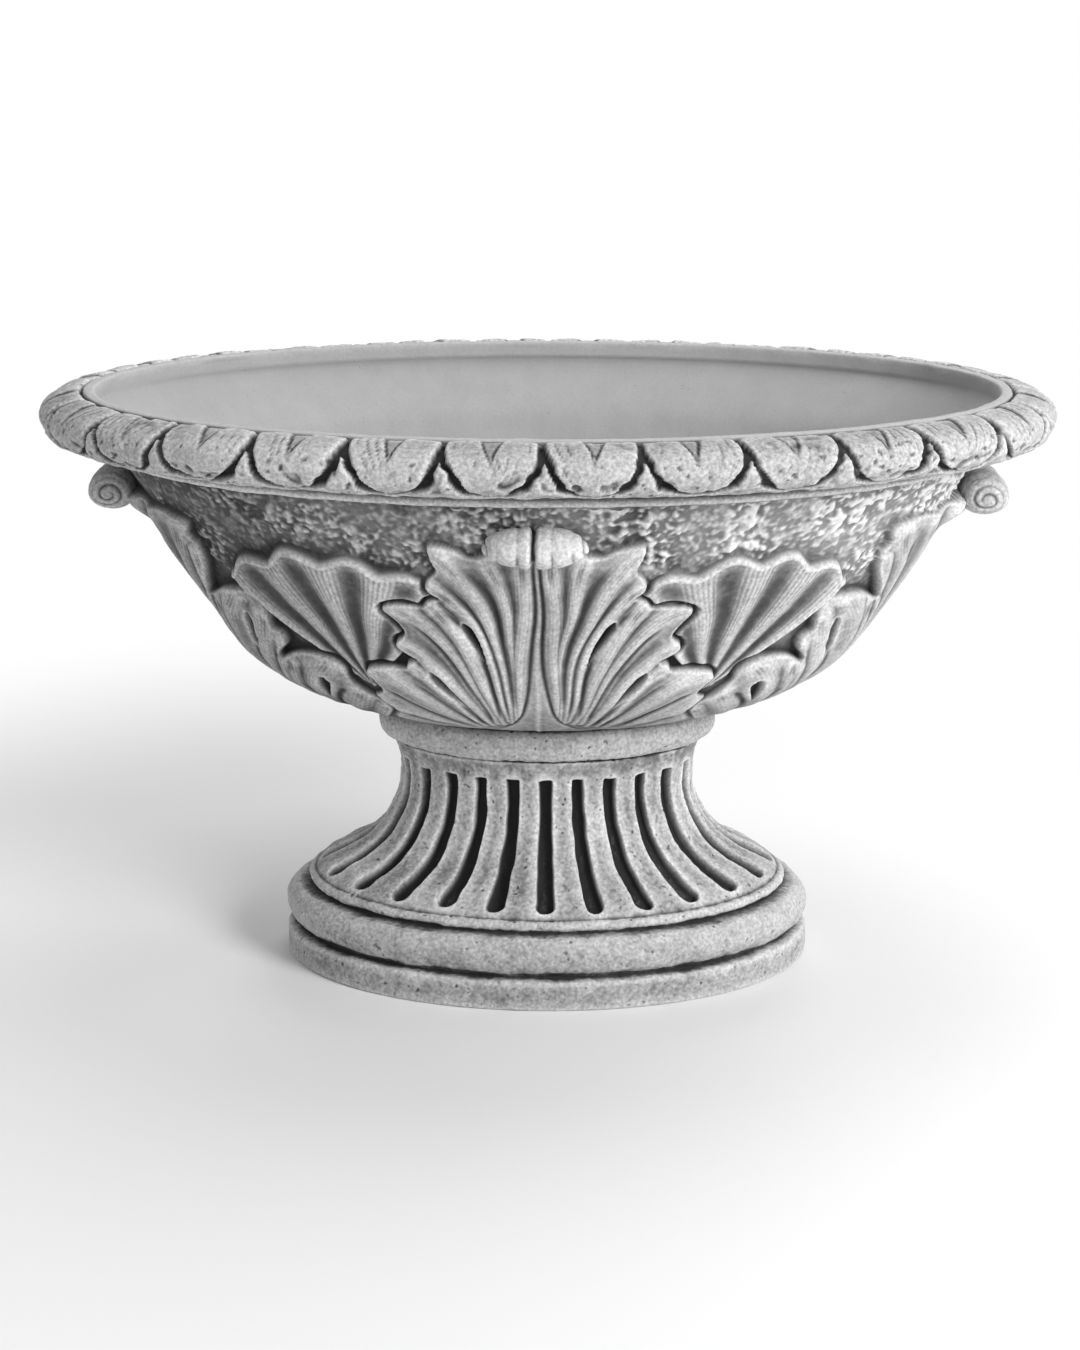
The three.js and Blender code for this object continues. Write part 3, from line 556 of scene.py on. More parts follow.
def shell(x, s):
    """Height of a scallop shell, and how much of its channels' smooth patina and painted shade lies at each
    point.
    """
    rise = s - SHELL_HINGE
    reach = np.hypot(x, rise)
    turn = np.degrees(np.arctan2(x, rise)) + SHELL_LEAN
    place = turn / SHELL_PITCH
    off_rib = np.abs(place - np.round(place))
    crest = 0.5 - 0.5 * np.cos(2 * math.pi * place)
    outline = SHELL_RADIUS + 9.0 * crest ** 0.8 + 2.5 * (turn / 30) ** 2
    inside = smooth(0.9, -0.7, reach - outline)
    sides = smooth(2.14, 2.02, np.abs(place))
    plate = 2.5 + 5.5 * smooth(10, 115, reach)
    channel = smooth(0.16, 0.4, off_rib)
    rib_wave = np.cos(2 * math.pi * place)
    wave = (0.6 + 1.5 * smooth(10, 95, reach)) * rib_wave * smooth(-4, 16, outline - reach)
    striae = 0.26 * np.cos(2 * math.pi * place * STRIAE) * (1 - channel) * smooth(30, 80, reach)
    border = 0.8 * bell(outline - reach - 1.3, 1.1)
    top = plate + wave + striae + border
    slope = plate * smooth(6.0, 0, reach - outline)
    height = np.where(reach < outline, top, np.minimum(slope, top)) * sides
    return height * smooth(-8, 4, rise), channel * inside * sides * smooth(5, 40, reach)


FRONT_LEAF = (FRONT_OUTLINE, FRONT_FINGERS, FRONT_TROUGHS, FRONT_EYES)
END_LEAF = (END_OUTLINE, END_FINGERS, END_TROUGHS, END_EYES)
LEAVES = ((270, FRONT_LEAF), (90, FRONT_LEAF), (0, END_LEAF), (180, END_LEAF))


def carving(turned, lengths, wobble):
    """The shells and leaves over rows of given profile lengths and columns of given degrees.

    The results are the profile length and the carved height at each point, and how much of the
    shells' smooth patina and painted shade shows there.
    """
    s = lengths[:, None] + 0.8 * wobble
    unit = DEGREE * outside(lengths)[0][:, None]
    carved = np.zeros(s.shape)
    channel_patina_and_shade = np.zeros(s.shape)
    for centre in (90, 270):
        for side in (-1, 1):
            x = side * wrap_degrees(turned - centre - side * SHELL_CENTRE)[None] * unit + wobble
            raised, channel = shell(x, s)
            carved = np.maximum(carved, raised)
            channel_patina_and_shade = np.maximum(channel_patina_and_shade, channel)
    covered = np.zeros(s.shape)
    for centre, lines in LEAVES:
        near = np.abs(wrap_degrees(turned - centre)) < LEAF_SPREAD
        x = wrap_degrees(turned[near] - centre)[None] * unit + wobble[:, near]
        raised, inside = leaf(x, s[:, near], *lines)
        if lines is END_LEAF:
            lift = CURL_LIFT * smooth(236, 268, s[:, near]) * smooth(50, 34, np.abs(x))
            raised += lift * smooth(-1, 1, inside)
        carved[:, near] = np.maximum(carved[:, near] * smooth(0.5, 6.0, -inside), raised)
        covered[:, near] = np.maximum(covered[:, near], smooth(-1, 1, inside))
    return s, carved, channel_patina_and_shade * (1 - covered)


def outside_relief(skin, rows, lengths, degrees, wobble):
    """The carved outside, with lumps of rough bare stone in the band between the carving and the rim."""
    s, carved, channel_patina_and_shade = carving(degrees - CARVING_TURN, lengths, wobble)
    ground = smooth(2.0, 0.2, carved)
    across = np.cos(np.radians(degrees))[None]
    # 0 at the left end and 1 at the right end, the side the lamps light: the colour below is painted paler
    # to the right as painted light and darker to the left as painted shade.
    toward_lit_side = 0.5 + 0.5 * across
    patchy = (0.35 + 0.65 * smooth(-1.0, 0.8, skin.noise(13)[rows])) * (0.6 + 0.4 * toward_lit_side)
    lumps = 0.8 * np.maximum(skin.noise(1.3)[rows], -0.5) + 0.9 * np.maximum(skin.noise(2.4)[rows], -0.3)
    lumps += 0.7 * np.maximum(skin.noise(4.5)[rows], 0)
    bare = smooth(2.5, 0.3, carved) * smooth(185, 225, s)
    worn = 0.14 * skin.noise(5)[rows] + 0.06 * skin.noise(1.6)[rows]
    height = carved * smooth(2, 40, lengths)[:, None] + bare * patchy * lumps + worn
    # Patina and painted shade in the shells' channels; the ground between the carvings is painted darker to
    # the left as painted shade and paler to the right as painted light.
    extra = 0.16 * channel_patina_and_shade + (0.14 - 0.24 * toward_lit_side) * ground
    # Lump tops painted paler as bare stone, and more so to the right as painted light.
    extra -= (0.20 + 0.30 * toward_lit_side) * bare * patchy * np.clip(lumps, 0, 1.2)
    extra += 0.22 * smooth(0.3, 1.6, skin.noise(11)[rows]) * ground
    # Painted shade: the lowest part of the outside, under the carving by the seat, is painted darker.
    extra += 0.65 * smooth(24, 4, lengths)[:, None]
    # Painted shade: the bowl's left end is painted darker.
    extra += 0.28 * smooth(0.50, 0.92, -across)
    # The bare band keeps less patina and painted shade in its hollows, and less still to the right as
    # painted light.
    return height, extra, 1 - (0.2 + 0.35 * toward_lit_side) * bare


# The egg band's sizes across are shares of the pitch between two darts, and its sizes down are shares
# of the roll's section from the groove at its top.
EGG_HALF = 0.475
EGG_FOOT = 0.90
EGG_BULGE = 2.8
ARC_PITCH = 7.0  # millimetres between the worn lines on an egg
ARC_DEPTH = 0.75
WEDGE_HALF = 0.13
WEDGE_FOOT = 0.50
WEDGE_DEPTH = 1.5
TONGUE_RISE = 1.8
DART_DEPTH = 5.2
DART_DOWN = [0.0, 0.30, 0.45, 0.62, 0.80, 0.92]
DART_WIDTH = [12.0, 9.0, 4.6, 4.8, 8.5, 5.0]  # millimetres of deep cut beside an egg, at each of those


def egg_band(skin, rows, down, degrees):
    """The rim's band: worn egg shapes of two petals each, with a deep dart round a tongue between them."""
    place = (degrees / 360 * EGG_COUNT)[None] + 0.022 * skin.noise(14)[rows]
    side = np.abs(place - np.floor(place) - 0.5)   # 0.5 at the darts, 0 in the egg's middle
    pitch = 360 / EGG_COUNT * DEGREE * (LIP_RADIUS + 22)
    egg = EGG_HALF * np.clip(1 - (down / EGG_FOOT) ** 2.4, 0, 1) ** 0.5
    outwards = (side - egg) * pitch                # millimetres outside the egg's outline
    inside = smooth(0.8, -0.8, outwards)
    bulge = EGG_BULGE * np.clip(1 - (side / 0.53) ** 2.8, 0, 1) ** 0.5 * smooth(0.95, 0.45, down)
    rings = (outwards + 1.2 * skin.noise(12)[rows]) / ARC_PITCH
    arcs = -ARC_DEPTH * bell((rings - np.round(rings)) * ARC_PITCH, 0.6) * smooth(-2, -4, outwards)
    arcs *= smooth(-0.2, 0.8, skin.noise(7)[rows]) * smooth(0.75, 0.5, down)
    wedge_half = WEDGE_HALF * np.clip(1 - down / WEDGE_FOOT, 0, 1)
    off_wedge = (side - wedge_half) * pitch
    wedge = -WEDGE_DEPTH * smooth(0.8, -0.8, off_wedge) * smooth(WEDGE_FOOT, 0.36, down)
    wedge_edge = bell(off_wedge, 0.8) * smooth(0.58, 0.45, down)
    dart = np.interp(down, DART_DOWN, DART_WIDTH)
    open_dart = smooth(0.0, 0.05, down) * smooth(0.93, 0.82, down)
    ragged = outwards + 0.9 * skin.noise(2.5)[rows] * smooth(0.2, 0.6, down)
    pocket = smooth(-0.9, 0.7, ragged) * smooth(dart + 1.0, dart - 1.0, ragged) * open_dart
    tongue = TONGUE_RISE * smooth(dart - 0.6, dart + 2.0, ragged) * smooth(0.95, 0.75, down)
    hollows = -2.4 * smooth(0.5, 1.5, skin.noise(4)[rows]) * bell(down - 0.76, 0.12)
    pits = -1.3 * smooth(1.4, 2.3, skin.noise(1.3)[rows]) * smooth(0.2, 0.6, down)
    worn = smooth(0.4, 1.8, skin.noise(26)[rows] + 0.5 * down)
    rough = 0.35 * skin.noise(2.2)[rows] + 0.4 * skin.noise(5)[rows]
    carved = inside * (bulge + arcs + wedge - 1.1 * wedge_edge) + (1 - inside) * (0.6 + tongue)
    height = (1 - 0.4 * worn) * carved - (1 - 0.45 * worn) * DART_DEPTH * pocket
    height += hollows + pits + 0.8 * rough * (0.35 + 0.65 * np.maximum(worn, smooth(0.45, 0.8, down)))
    ends = smooth(0, 0.05, down) * smooth(1.0, 0.95, down)
    # The whole band is painted a little darker, and painted shade darkens the darts' deep pockets, the
    # wedges' edges and the groove at the roll's top.
    darker_by = 0.18 + 0.5 * pocket + 0.2 * wedge_edge * inside + 0.4 * smooth(0.05, 0.0, down)
    return height * ends, darker_by


CALM = 0.12  # the share of patina and painted shade that hollows take on the lip and the inside


def bowl_relief(skin, parts, places, degrees):
    """Height over the plain surface, extra stains with painted light and shade, and the hollows' share of
    patina and painted shade.
    """
    height = np.zeros(skin.count)
    extra = np.zeros(skin.count)
    amount = np.ones(skin.count)
    wobble = 1.1 * skin.noise(18)
    rows = np.flatnonzero(parts == "outside")
    relief = outside_relief(skin, rows, places[rows], degrees, wobble[rows])
    height[rows], extra[rows], amount[rows] = relief
    rows = np.flatnonzero(parts == "roll")
    height[rows], extra[rows] = egg_band(skin, rows, places[rows][:, None], degrees)
    rows = np.flatnonzero((parts == "lip") | (parts == "fillet"))
    height[rows] = 0.16 * skin.noise(6)[rows] + 0.07 * skin.noise(1.6)[rows]
    rows = np.flatnonzero(parts == "lip")
    amount[rows] = CALM
    # Painted shade in the groove at the foot of the lip's outer face.
    extra[rows] = 0.5 * smooth(-0.6, 0.1, places[rows])[:, None]
    rows = np.flatnonzero((parts == "inside") | (parts == "floor"))
    height[rows] = 0.18 * skin.noise(9)[rows] + 0.03 * skin.noise(1.6)[rows]
    amount[rows] = CALM
    return height, extra, amount


# ---- Foot ----
FOOT_COLUMNS = 48 * FLUTE_COUNT
# The sections of its mouldings from the ground up, as [half length, height].
PLINTH_SIDE = [(214, 0), (218.6, 0.6), (220, 3.5), (220, 21), (218.8, 24.2), (215.5, 25.4), (209.5, 25.9),
               (208, 26.6), (208, 27.8), (209.2, 28.3)]
TORUS_WIDEST = (219.8, 45.0)
TORUS_SIZE = (13.5, 15.6)
TORUS_TURNS = np.linspace(-1.25, 1.25, 38)
FLANGE_SIDE = [(209, 60.3), (199, 60.7), (196.4, 61.2), (195.8, 62.2), (196.6, 63.2), (199.2, 64.4),
               (200.6, 66.6), (199.8, 69.6), (197.4, 71.4), (194.6, 72)]
SWEEP_LINE = [(194.6, 72), (192, 76), (180, 84), (159, 94), (141.5, 108), (130.5, 124), (123, 142),
              (NECK_RADIUS, NECK_HEIGHT)]
SWEEP_HEIGHTS = np.concatenate([np.linspace(72.15, 80, 60), np.linspace(80, 188.4, 400)])
RING_BOTTOM = 191.6
NECK_FLARE = 7.4  # how much wider the neck would be at the ring's bottom
NECK_LINE = [(127.0, 188.6), (125.4, 189.6), (125.2, 190.6), (127, 191.3), (130, RING_BOTTOM)]
RING_WIDEST = (139.5, 203.8)
RING_SIZE = (10.0, FOOT_HEIGHT - RING_WIDEST[1])
RING_TURNS = np.linspace(-1.45, 1.5, 32)
TOP_RADIUS = 129
HOLLOW_TOP = 154
HOLLOW_FOOT = 174
HOLLOW_SIDE = [(54, HOLLOW_TOP), (60, 148), (92, 96), (172, 30), (HOLLOW_FOOT, 20), (HOLLOW_FOOT, 0)]
FLUTE_DEPTH = 9.0
FLUTE_HALF_SHARE = 0.18  # of the pitch between two flutes
FLUTE_TOP = 172.5
FLUTE_LOWEST = 76.5
HIDDEN_PARTS = ("top", "bore", "hollow", "underside")
sweep_curve = rounded(SWEEP_LINE, 1.0, passes=3)


def sweep(z):
    """Half length of the fluted sweep and the neck over it."""
    flare = NECK_FLARE * (np.maximum(z - NECK_HEIGHT, 0) / (RING_BOTTOM - NECK_HEIGHT)) ** 2
    return np.interp(z, sweep_curve[:, 1], sweep_curve[:, 0]) + flare


def half_round(widest, size, turns):
    """A moulding's bulge as [half length, height], by the angle from its widest point."""
    return [(widest[0] - size[0] * (1 - math.cos(turn)), widest[1] + size[1] * math.sin(turn))
            for turn in turns]


def hollow_ratio(half_length):
    return ((half_length + HOLLOW_WALL) * PLINTH_RATIO - HOLLOW_WALL) / half_length


def foot_rows(angles):
    """The foot's skin: up the outside, over the top, down the drain and out over the hollow's wall."""
    rows = Rows(angles)
    for part, line in (
        ("plinth", resample(rounded(PLINTH_SIDE, 0.9, passes=1), 0.9)),
        ("torus", half_round(TORUS_WIDEST, TORUS_SIZE, TORUS_TURNS)),
        ("flange", rounded(FLANGE_SIDE, 0.9, passes=1)),
        ("sweep", rounded(np.stack([sweep(SWEEP_HEIGHTS), SWEEP_HEIGHTS], axis=1), 0.95, passes=1)),
        ("ring", rounded(NECK_LINE, 0.8, passes=1)),
        ("ring", half_round(RING_WIDEST, RING_SIZE, RING_TURNS)),
    ):
        for a, z in line:
            rows.put_oval(part, z, a, np.interp(z, [0, FOOT_HEIGHT], [PLINTH_RATIO, SEAT_RATIO]), z)
    drain_top = (DRAIN_RADIUS, 1, FOOT_HEIGHT)
    drain_foot = (DRAIN_RADIUS, 1, HOLLOW_TOP)
    rows.put_between("top", (TOP_RADIUS, SEAT_RATIO, FOOT_HEIGHT), drain_top, 12)
    rows.put_oval("top", 1, *drain_top)
    rows.put_between("bore", drain_top, drain_foot, 6)
    rows.put_oval("bore", 1, *drain_foot)
    for a, z in rounded(HOLLOW_SIDE, 6):
        rows.put_oval("hollow", z, a, hollow_ratio(a), z)
    rows.put_between("underside", (HOLLOW_FOOT, hollow_ratio(HOLLOW_FOOT), 0),
                     (PLINTH_SIDE[0][0], PLINTH_RATIO, 0), 4)
    return rows


def flutes(skin, rows, places, degrees):
    """How much of a flute's slot lies at each point of the sweep; the slots have a round lower end."""
    along = running_total(skin.row_step)[rows]
    lowest = np.interp(FLUTE_LOWEST, places, along)
    highest = np.interp(FLUTE_TOP, places, along)
    pitch = 360 / FLUTE_COUNT * DEGREE * sweep(places)[:, None]
    turn = (degrees - 270) / 360 * FLUTE_COUNT
    off = (turn - np.round(turn))[None] * pitch + 0.25 * skin.noise(9)[rows]
    half = FLUTE_HALF_SHARE * pitch + 0.35 * skin.noise(6)[rows]
    from_end = along[:, None] - lowest + 0.6 * skin.noise(5)[rows]
    round_end = np.sqrt(np.clip(half ** 2 - np.maximum(half - from_end, 0) ** 2, 0, None))
    half = np.where(from_end < 0, -2, round_end)
    below_top = highest - along[:, None] + 0.35 * skin.noise(4)[rows]
    return smooth(0.9, -0.9, np.abs(off) - half) * smooth(-0.8, 0.8, below_top)


def foot_relief(skin, parts, places, degrees):
    """Height over the plain surface, extra stains with painted shade in the flutes, and the hollows' share
    of patina and painted shade.
    """
    height = np.zeros(skin.count)
    extra = np.zeros(skin.count)
    amount = np.ones(skin.count)
    hidden = np.isin(parts, HIDDEN_PARTS)
    amount[hidden] = 0.3
    rough = 0.35 * skin.noise(7) + 0.14 * skin.noise(2) + 0.08 * skin.noise(0.9)
    pits = -0.8 * smooth(1.9, 2.8, skin.noise(1.1))
    height[~hidden] = (rough + pits)[~hidden] * smooth(0.2, 4, places[~hidden])[:, None]
    rows = np.flatnonzero(parts == "sweep")
    slot = flutes(skin, rows, places[rows], degrees)
    height[rows] -= FLUTE_DEPTH * slot
    drips = skin.noise(4.0)[rows].mean(axis=0)
    drips = 0.7 * (drips / drips.std())[None] + skin.noise(14)[rows]
    streaks = 0.16 * smooth(0.6, 2.4, drips) - 0.12 * smooth(0.2, 2.0, -drips)
    # Patina and painted shade in the flutes, streaks of staining, and paler towards the sweep's top.
    extra[rows] = 0.14 * slot + streaks - 0.10 * smooth(164, 184, places[rows])[:, None]
    return height, extra, amount


# ---- Curls: the rolled tips of the leaves ----
CURL_COLUMNS = 160
CURL_STEP = 0.7  # millimetres between the rings of a curl
CURL_HEIGHT = 397.5  # height of the place on the flank in front of which a curl stands
CURL_SPOT = outside(belly_length + (CURL_HEIGHT - FLANK_FOOT[1]) / flank_up)
# The last value of each is how much darker that curl's stone is painted all over.
FRONT_CURL = {"half": 38.5, "radius": 16.5, "blunt": 2.4, "standoff": 10.0, "darker_by": 0.0}
END_CURL = {"half": 44.0, "radius": 18.5, "blunt": 5.0, "standoff": 27.0, "darker_by": 0.16}
CLEFT_DEPTH = 6.5
SPIRAL_PITCH = 6.5


def curl(name, centre_degrees, half, radius, blunt, standoff, darker_by):
    """A rolled leaf tip: two fat halves with a cleft between, each of a few lobes, tapering outwards.

    In its grid, u runs along the curl from -1 to 1 and v is the angle round it.
    """
    along = np.sin(np.linspace(-math.pi / 2, math.pi / 2, 2001)[1:-1])
    taper = (1 - np.abs(along) ** blunt) ** 0.5
    line = np.stack([along * half, radius * taper], axis=1)
    length = running_total(np.linalg.norm(np.diff(line, axis=0), axis=1))
    steps = np.linspace(0, length[-1], int(length[-1] / CURL_STEP))
    around = np.linspace(0, 2 * math.pi, CURL_COLUMNS, endpoint=False)[::-1]
    u, v = np.meshgrid(np.interp(steps, length, along), around, indexing="ij")
    taper = np.interp(steps, length, taper)[:, None] + 0 * v
    lobes = np.abs(np.sin(math.pi * (np.abs(u) + 0.06) * 2.6))
    lower = smooth(0.4, -0.9, np.sin(v))
    reach = radius * taper * (1 - 0.13 * (1 - lobes) ** 2 * (0.3 + 0.7 * lower))
    reach -= CLEFT_DEPTH * bell(u * half + 1.2, 1.5) * smooth(0, 0.2, taper)
    sideways_by = u * half
    inwards_by = -reach * np.cos(v) * 1.08 - standoff
    up_by = reach * np.sin(v) * (1 - 0.16 * lower)

    angle = float(oval_angle(centre_degrees % 360 / 360))
    a, z = CURL_SPOT
    spot = np.array([a * math.cos(angle), bowl_ratio(z) * a * math.sin(angle)])
    out = spot / np.linalg.norm(spot)
    sideways = np.array([-out[1], out[0]])
    placed = np.empty(u.shape + (3,))
    placed[..., :2] = spot + sideways_by[..., None] * sideways - inwards_by[..., None] * out
    placed[..., 2] = z + up_by

    skin = Skin(placed, closed=False)
    height = 0.22 * skin.noise(5) + 0.12 * skin.noise(1.6)
    rolled = reach / SPIRAL_PITCH - np.sign(u) * v / (2 * math.pi)
    face = smooth(0.80, 0.93, np.abs(u)) * smooth(0.1, 0.3, taper)
    height -= 1.6 * bell((rolled - np.round(rolled)) * SPIRAL_PITCH, 1.0) * face
    skin.raise_by(height * smooth(0, 0.25, taper))
    obj = add_grid(name, skin.points, patina(skin, darker_by), closed_rows=False)
    close_ends(obj, CURL_COLUMNS)
    return obj


def close_ends(obj, columns):
    """Closes the first and the last ring of an open grid with one face each."""
    mesh = bmesh.new()
    mesh.from_mesh(obj.data)
    mesh.verts.ensure_lookup_table()
    count = len(mesh.verts)
    mesh.faces.new([mesh.verts[i] for i in range(columns - 1, -1, -1)])
    mesh.faces.new([mesh.verts[i] for i in range(count - columns, count)])
    bmesh.ops.recalc_face_normals(mesh, faces=mesh.faces)
    mesh.to_mesh(obj.data)
    mesh.free()


# ---- Materials ----
class Nodes:
    """A short way to write a node tree."""

    def __init__(self, name):
        self.material = bpy.data.materials.new(name)
        self.material.use_nodes = True
        self.tree = self.material.node_tree
        self.shader = self.tree.nodes["Principled BSDF"]
        self.position = self.add("ShaderNodeTexCoord").outputs["Object"]

    def add(self, kind, **settings):
        node = self.tree.nodes.new(kind)
        for key, value in settings.items():
            setattr(node, key, value)
        return node

    def feed(self, node, inputs):
        """Sets each input to its number or colour, or links it to an output. Returns the node's outputs."""
        for name, value in inputs.items():
            if isinstance(value, (int, float, tuple)):
                node.inputs[name].default_value = value
            else:
                self.tree.links.new(value, node.inputs[name])
        return node.outputs

    def math(self, operation, first, second):
        node = self.add("ShaderNodeMath", operation=operation)
        return self.feed(node, {0: first, 1: second})[0]

    def plus(self, first, second):
        return self.math("ADD", first, second)

    def minus(self, first, second):
        return self.math("SUBTRACT", first, second)

    def times(self, first, second):
        return self.math("MULTIPLY", first, second)

    def noise(self, scale, detail=4.0, roughness=0.55, distortion=0.0):
        node = self.add("ShaderNodeTexNoise")
        numbers = {"Scale": scale, "Detail": detail, "Roughness": roughness, "Distortion": distortion}
        return self.feed(node, {"Vector": self.position, **numbers})["Fac"]

    def cells(self, scale):
        node = self.add("ShaderNodeTexVoronoi")
        return self.feed(node, {"Vector": self.position, "Scale": scale})["Distance"]

    def value(self, name):
        return self.add("ShaderNodeAttribute", attribute_name=name).outputs["Fac"]

    def between(self, value, low, high, to_low=0.0, to_high=1.0):
        node = self.add("ShaderNodeMapRange", interpolation_type="SMOOTHSTEP")
        numbers = {"From Min": low, "From Max": high, "To Min": to_low, "To Max": to_high}
        return self.feed(node, {"Value": value, **numbers})["Result"]

    def ramp(self, value, stops):
        node = self.add("ShaderNodeValToRGB")
        elements = node.color_ramp.elements
        while len(elements) < len(stops):
            elements.new(0.5)
        for element, (place, color) in zip(elements, stops):
            element.position = place
            element.color = (*color, 1)
        return self.feed(node, {"Fac": value})["Color"]

    def bump(self, height, distance, strength=1.0):
        node = self.add("ShaderNodeBump")
        return self.feed(node, {"Height": height, "Distance": distance, "Strength": strength})["Normal"]

    def finish(self, color, roughness, normal):
        self.feed(self.shader, {"Base Color": color, "Roughness": roughness, "Normal": normal})
        return self.material


def grey(level):
    """A grey as it shows on screen, from 0 to 1, in Blender's linear colour."""
    return (level ** 2.2,) * 3


STONE_TONES = [(0.0, grey(0.17)), (0.25, grey(0.32)), (0.5, grey(0.53)), (0.75, grey(0.74)),
               (1.0, grey(0.90))]
MIDDLE_TONE = 0.53
# How far each of these moves the tone.
WEAR_AND_HIGHLIGHT_TONE = 0.46
PLAIN_TONE = 0.10
PATINA_AND_SHADE_TONE = 0.62
PIT_TONE = 0.16


def stone(name, shade):
    """Worn cast stone: dark patina and painted shade in hollows, pale rubbed edges and painted highlights,
    grains, blotches, pits.
    """
    nodes = Nodes(name)
    fine = nodes.noise(1100, 3, 0.6)
    grains = nodes.noise(380, 4, 0.6)
    patches = nodes.noise(46, 5, 0.6)
    broad = nodes.noise(8, 4, 0.55)
    pits = nodes.between(nodes.cells(300), 0.08, 0.2, 1.0, 0.0)
    pits = nodes.times(pits, nodes.between(nodes.noise(70, 3), 0.56, 0.68))
    # Painted dark for patina and painted shade, and pale for rubbed edges and painted highlights.
    patina_and_shade = nodes.times(nodes.value("patina_and_shade"), nodes.between(patches, 0.3, 0.7, 0.8, 1.15))
    wear_and_highlight = nodes.times(nodes.value("wear_and_highlight"), nodes.between(grains, 0.35, 0.65, 0.65, 1.15))
    plain = nodes.value("plain")
    wear_and_highlight = nodes.times(wear_and_highlight, nodes.minus(1.0, nodes.times(plain, 0.8)))
    # The shade given lowers the whole tone: painted shade, which darkens the foot's copy.
    tone = nodes.plus(MIDDLE_TONE - shade, nodes.times(wear_and_highlight, WEAR_AND_HIGHLIGHT_TONE))
    tone = nodes.plus(tone, nodes.times(plain, PLAIN_TONE))
    tone = nodes.minus(tone, nodes.times(patina_and_shade, PATINA_AND_SHADE_TONE))
    lively = nodes.minus(1.0, nodes.times(plain, 0.7))
    for source, amount in ((grains, 0.15), (fine, 0.12), (patches, 0.20), (broad, 0.26)):
        wave = nodes.times(nodes.minus(source, 0.5), lively)
        tone = nodes.plus(tone, nodes.times(wave, amount))
    tone = nodes.minus(tone, nodes.times(pits, PIT_TONE))
    nodes.feed(nodes.shader, {"Specular IOR Level": 0.25})
    relief = nodes.plus(nodes.times(grains, 0.6), nodes.times(fine, 0.3))
    relief = nodes.minus(relief, nodes.times(pits, 0.6))
    return nodes.finish(nodes.ramp(tone, STONE_TONES), nodes.between(tone, 0.0, 1.0, 0.78, 0.92),
                        nodes.bump(relief, 0.0006, 0.7))


def mortar():
    nodes = Nodes("mortar")
    grains = nodes.noise(500, 5, 0.7)
    patches = nodes.noise(60, 4, 0.6)
    tone = nodes.plus(nodes.times(grains, 0.6), nodes.times(patches, 0.4))
    color = nodes.ramp(tone, [(0.3, grey(0.12)), (0.7, grey(0.33))])
    return nodes.finish(color, 0.95, nodes.bump(grains, 0.001))


def plastic():
    nodes = Nodes("sleeve_plastic")
    scuffs = nodes.noise(240, 5, 0.7, 0.6)
    silt = nodes.noise(70, 4, 0.6)
    tone = nodes.plus(nodes.times(scuffs, 0.35), nodes.times(silt, 0.65))
    color = nodes.ramp(tone, [(0.35, grey(0.24)), (0.75, grey(0.42))])
    return nodes.finish(color, nodes.between(silt, 0.3, 0.7, 0.45, 0.75), nodes.bump(scuffs, 0.0002))


def stainless():
    nodes = Nodes("stainless")
    drawn = nodes.noise(700, 3, 0.5)
    nodes.feed(nodes.shader, {"Metallic": 1.0})
    color = nodes.ramp(drawn, [(0.3, grey(0.55)), (0.7, grey(0.72))])
    return nodes.finish(color, nodes.between(drawn, 0.3, 0.7, 0.28, 0.45), nodes.bump(drawn, 0.0001))


# ---- Pieces ----
def dress(obj, material):
    obj.data.materials.clear()
    obj.data.materials.append(material)


def skin_object(name, node, material, columns, make_rows, make_relief):
    rows = make_rows(oval_angle(np.arange(columns) / columns))
    skin = Skin(rows.rings)
    degrees = np.arange(columns) / columns * 360
    height, extra, amount = make_relief(skin, np.array(rows.parts), np.array(rows.places), degrees)
    skin.raise_by(height)
    obj = add_grid(name, skin.points, patina(skin, extra, amount))
    dress(obj, material)
    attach(obj, "root")
    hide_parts(node)


bowl_stone = stone("bowl_stone", 0.0)
# The foot's copy of the stone is painted darker, as painted shade under the bowl.
shaded_foot_stone = stone("shaded_foot_stone", 0.07)

skin_object("bowl_carved", "bowl", bowl_stone, BOWL_COLUMNS, bowl_rows, bowl_relief)
skin_object("foot_fluted", "foot", shaded_foot_stone, FOOT_COLUMNS, foot_rows, foot_relief)
for place, centre, shape in (("front", 270, FRONT_CURL), ("back", 90, FRONT_CURL),
                             ("right", 0, END_CURL), ("left", 180, END_CURL)):
    piece = curl("curl_" + place, centre + CARVING_TURN, **shape)
    dress(piece, bowl_stone)
    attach(piece, "root")
    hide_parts("bowl")

dress(frame["nodes"]["mortar_bed"], mortar())
dress(frame["nodes"]["drain_sleeve"], plastic())
steel = stainless()
for dowel in ("dowel_left", "dowel_right"):
    dress(frame["nodes"][dowel], steel)


# ---- Floor, light and camera ----
FLOOR_REACH = 60.0
FLOOR_COLOR = (0.9, 0.9, 0.9, 1)
SHADOW_REACH = (0.5, 1.1)  # metres from the middle between which the floor turns plain white


def shows_background(tree):
    """1 for the rays in which the white background shows: seen, mirrored or through something clear."""
    path = tree.nodes.new("ShaderNodeLightPath")
    shown = path.outputs["Is Camera Ray"]
    for other in ("Is Glossy Ray", "Is Transmission Ray"):
        either = tree.nodes.new("ShaderNodeMath")
        either.operation = "MAXIMUM"
        tree.links.new(shown, either.inputs[0])
        tree.links.new(path.outputs[other], either.inputs[1])
        shown = either.outputs[0]
    return shown


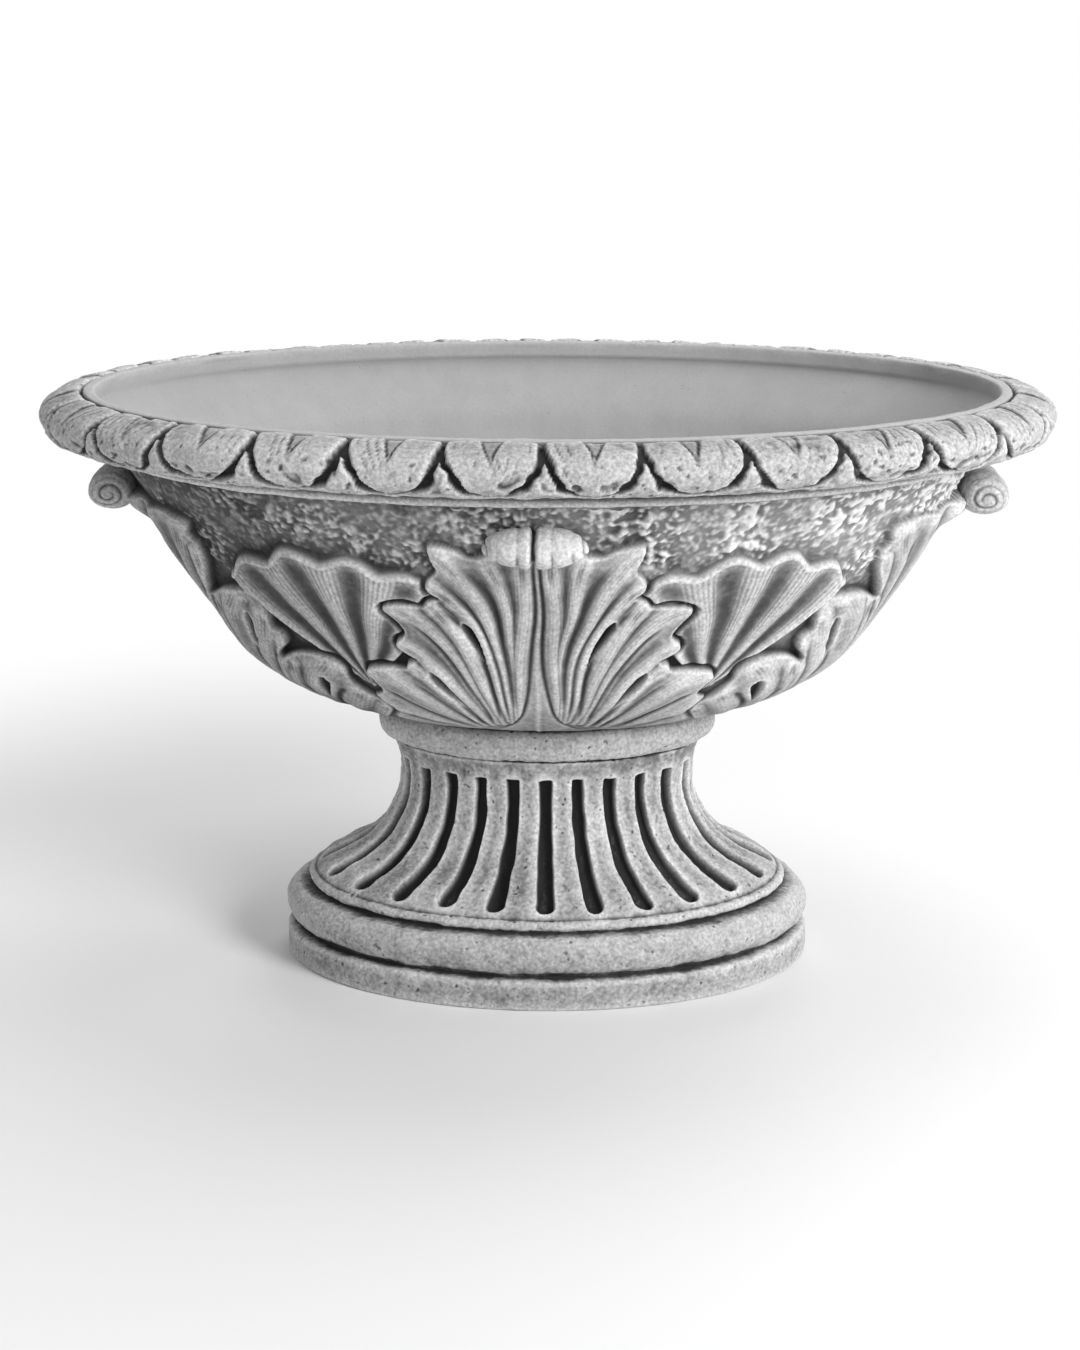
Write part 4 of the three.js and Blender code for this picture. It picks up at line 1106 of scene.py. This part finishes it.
def floor():
    mesh = bpy.data.meshes.new("floor")
    corners = [(x * FLOOR_REACH, y * FLOOR_REACH, 0) for x, y in ((-1, -1), (1, -1), (1, 1), (-1, 1))]
    mesh.from_pydata(corners, [], [(0, 1, 2, 3)])
    nodes = Nodes("floor_white")
    matte = {"Base Color": FLOOR_COLOR, "Roughness": 0.9, "Specular IOR Level": 0.0}
    lit = nodes.feed(nodes.shader, matte)[0]
    glow = nodes.feed(nodes.add("ShaderNodeEmission"), {"Strength": 1.0})[0]
    length = nodes.add("ShaderNodeVectorMath", operation="LENGTH")
    far = nodes.between(nodes.feed(length, {0: nodes.position})["Value"], *SHADOW_REACH)
    glowing = nodes.times(far, shows_background(nodes.tree))
    mixed = nodes.feed(nodes.add("ShaderNodeMixShader"), {0: glowing, 1: lit, 2: glow})[0]
    nodes.feed(nodes.tree.nodes["Material Output"], {"Surface": mixed})
    mesh.materials.append(nodes.material)
    add_object("floor", mesh)


SKY_LIGHT = 0.35  # how strongly the world lights the object
SKY_SEEN = 1.0  # and how bright it looks behind it


def world():
    sky = bpy.data.worlds.new("studio")
    bpy.context.scene.world = sky
    sky.use_nodes = True
    tree = sky.node_tree
    background = tree.nodes["Background"]
    level = tree.nodes.new("ShaderNodeMapRange")
    level.inputs["To Min"].default_value = SKY_LIGHT
    level.inputs["To Max"].default_value = SKY_SEEN
    tree.links.new(shows_background(tree), level.inputs["Value"])
    background.inputs["Color"].default_value = (1, 1, 1, 1)
    tree.links.new(level.outputs["Result"], background.inputs["Strength"])


def aim_from(obj, place, aim):
    obj.location = place
    obj.rotation_euler = (aim - place).to_track_quat("-Z", "Y").to_euler()


def lamp(name, place, aim, size, power):
    data = bpy.data.lights.new(name, "AREA")
    data.shape = "DISK"
    data.size = size
    data.energy = power
    aim_from(add_object(name, data), Vector(place), Vector(aim))


# Each lamp's place and what it points at, in metres, its diameter and its power in watts.
LAMPS = {
    "key": ((1.9, -1.8, 1.6), (0, 0, 0.3), 1.2, 70),
    "fill": ((-2.2, -2.0, 1.2), (0, 0, 0.25), 2.2, 4),
    "top": ((0.2, 0.5, 2.6), (0, 0, 0.4), 1.6, 18),
    "back": ((0.4, 2.5, 1.3), (0, 0, 0.25), 2.0, 26),
}
AIM = Vector((-0.0055, 0.0, 0.2385))
CAMERA_AZIMUTH = math.radians(0.82)
CAMERA_ELEVATION = math.radians(16.96)
CAMERA_DISTANCE = 1.874
FOCAL_PIXELS = 2269.0
PHOTO_WIDTH = 1080.0


def camera():
    data = bpy.data.cameras.new("camera")
    data.sensor_fit = "HORIZONTAL"
    data.lens = data.sensor_width * FOCAL_PIXELS / PHOTO_WIDTH
    level = math.cos(CAMERA_ELEVATION)
    back = Vector((math.sin(CAMERA_AZIMUTH) * level, -math.cos(CAMERA_AZIMUTH) * level,
                   math.sin(CAMERA_ELEVATION)))
    obj = add_object("camera", data)
    aim_from(obj, AIM + CAMERA_DISTANCE * back, AIM)
    bpy.context.scene.camera = obj


floor()
world()
for lamp_name, settings in LAMPS.items():
    lamp(lamp_name, *settings)
camera()
bpy.context.scene.view_settings.view_transform = "Standard"
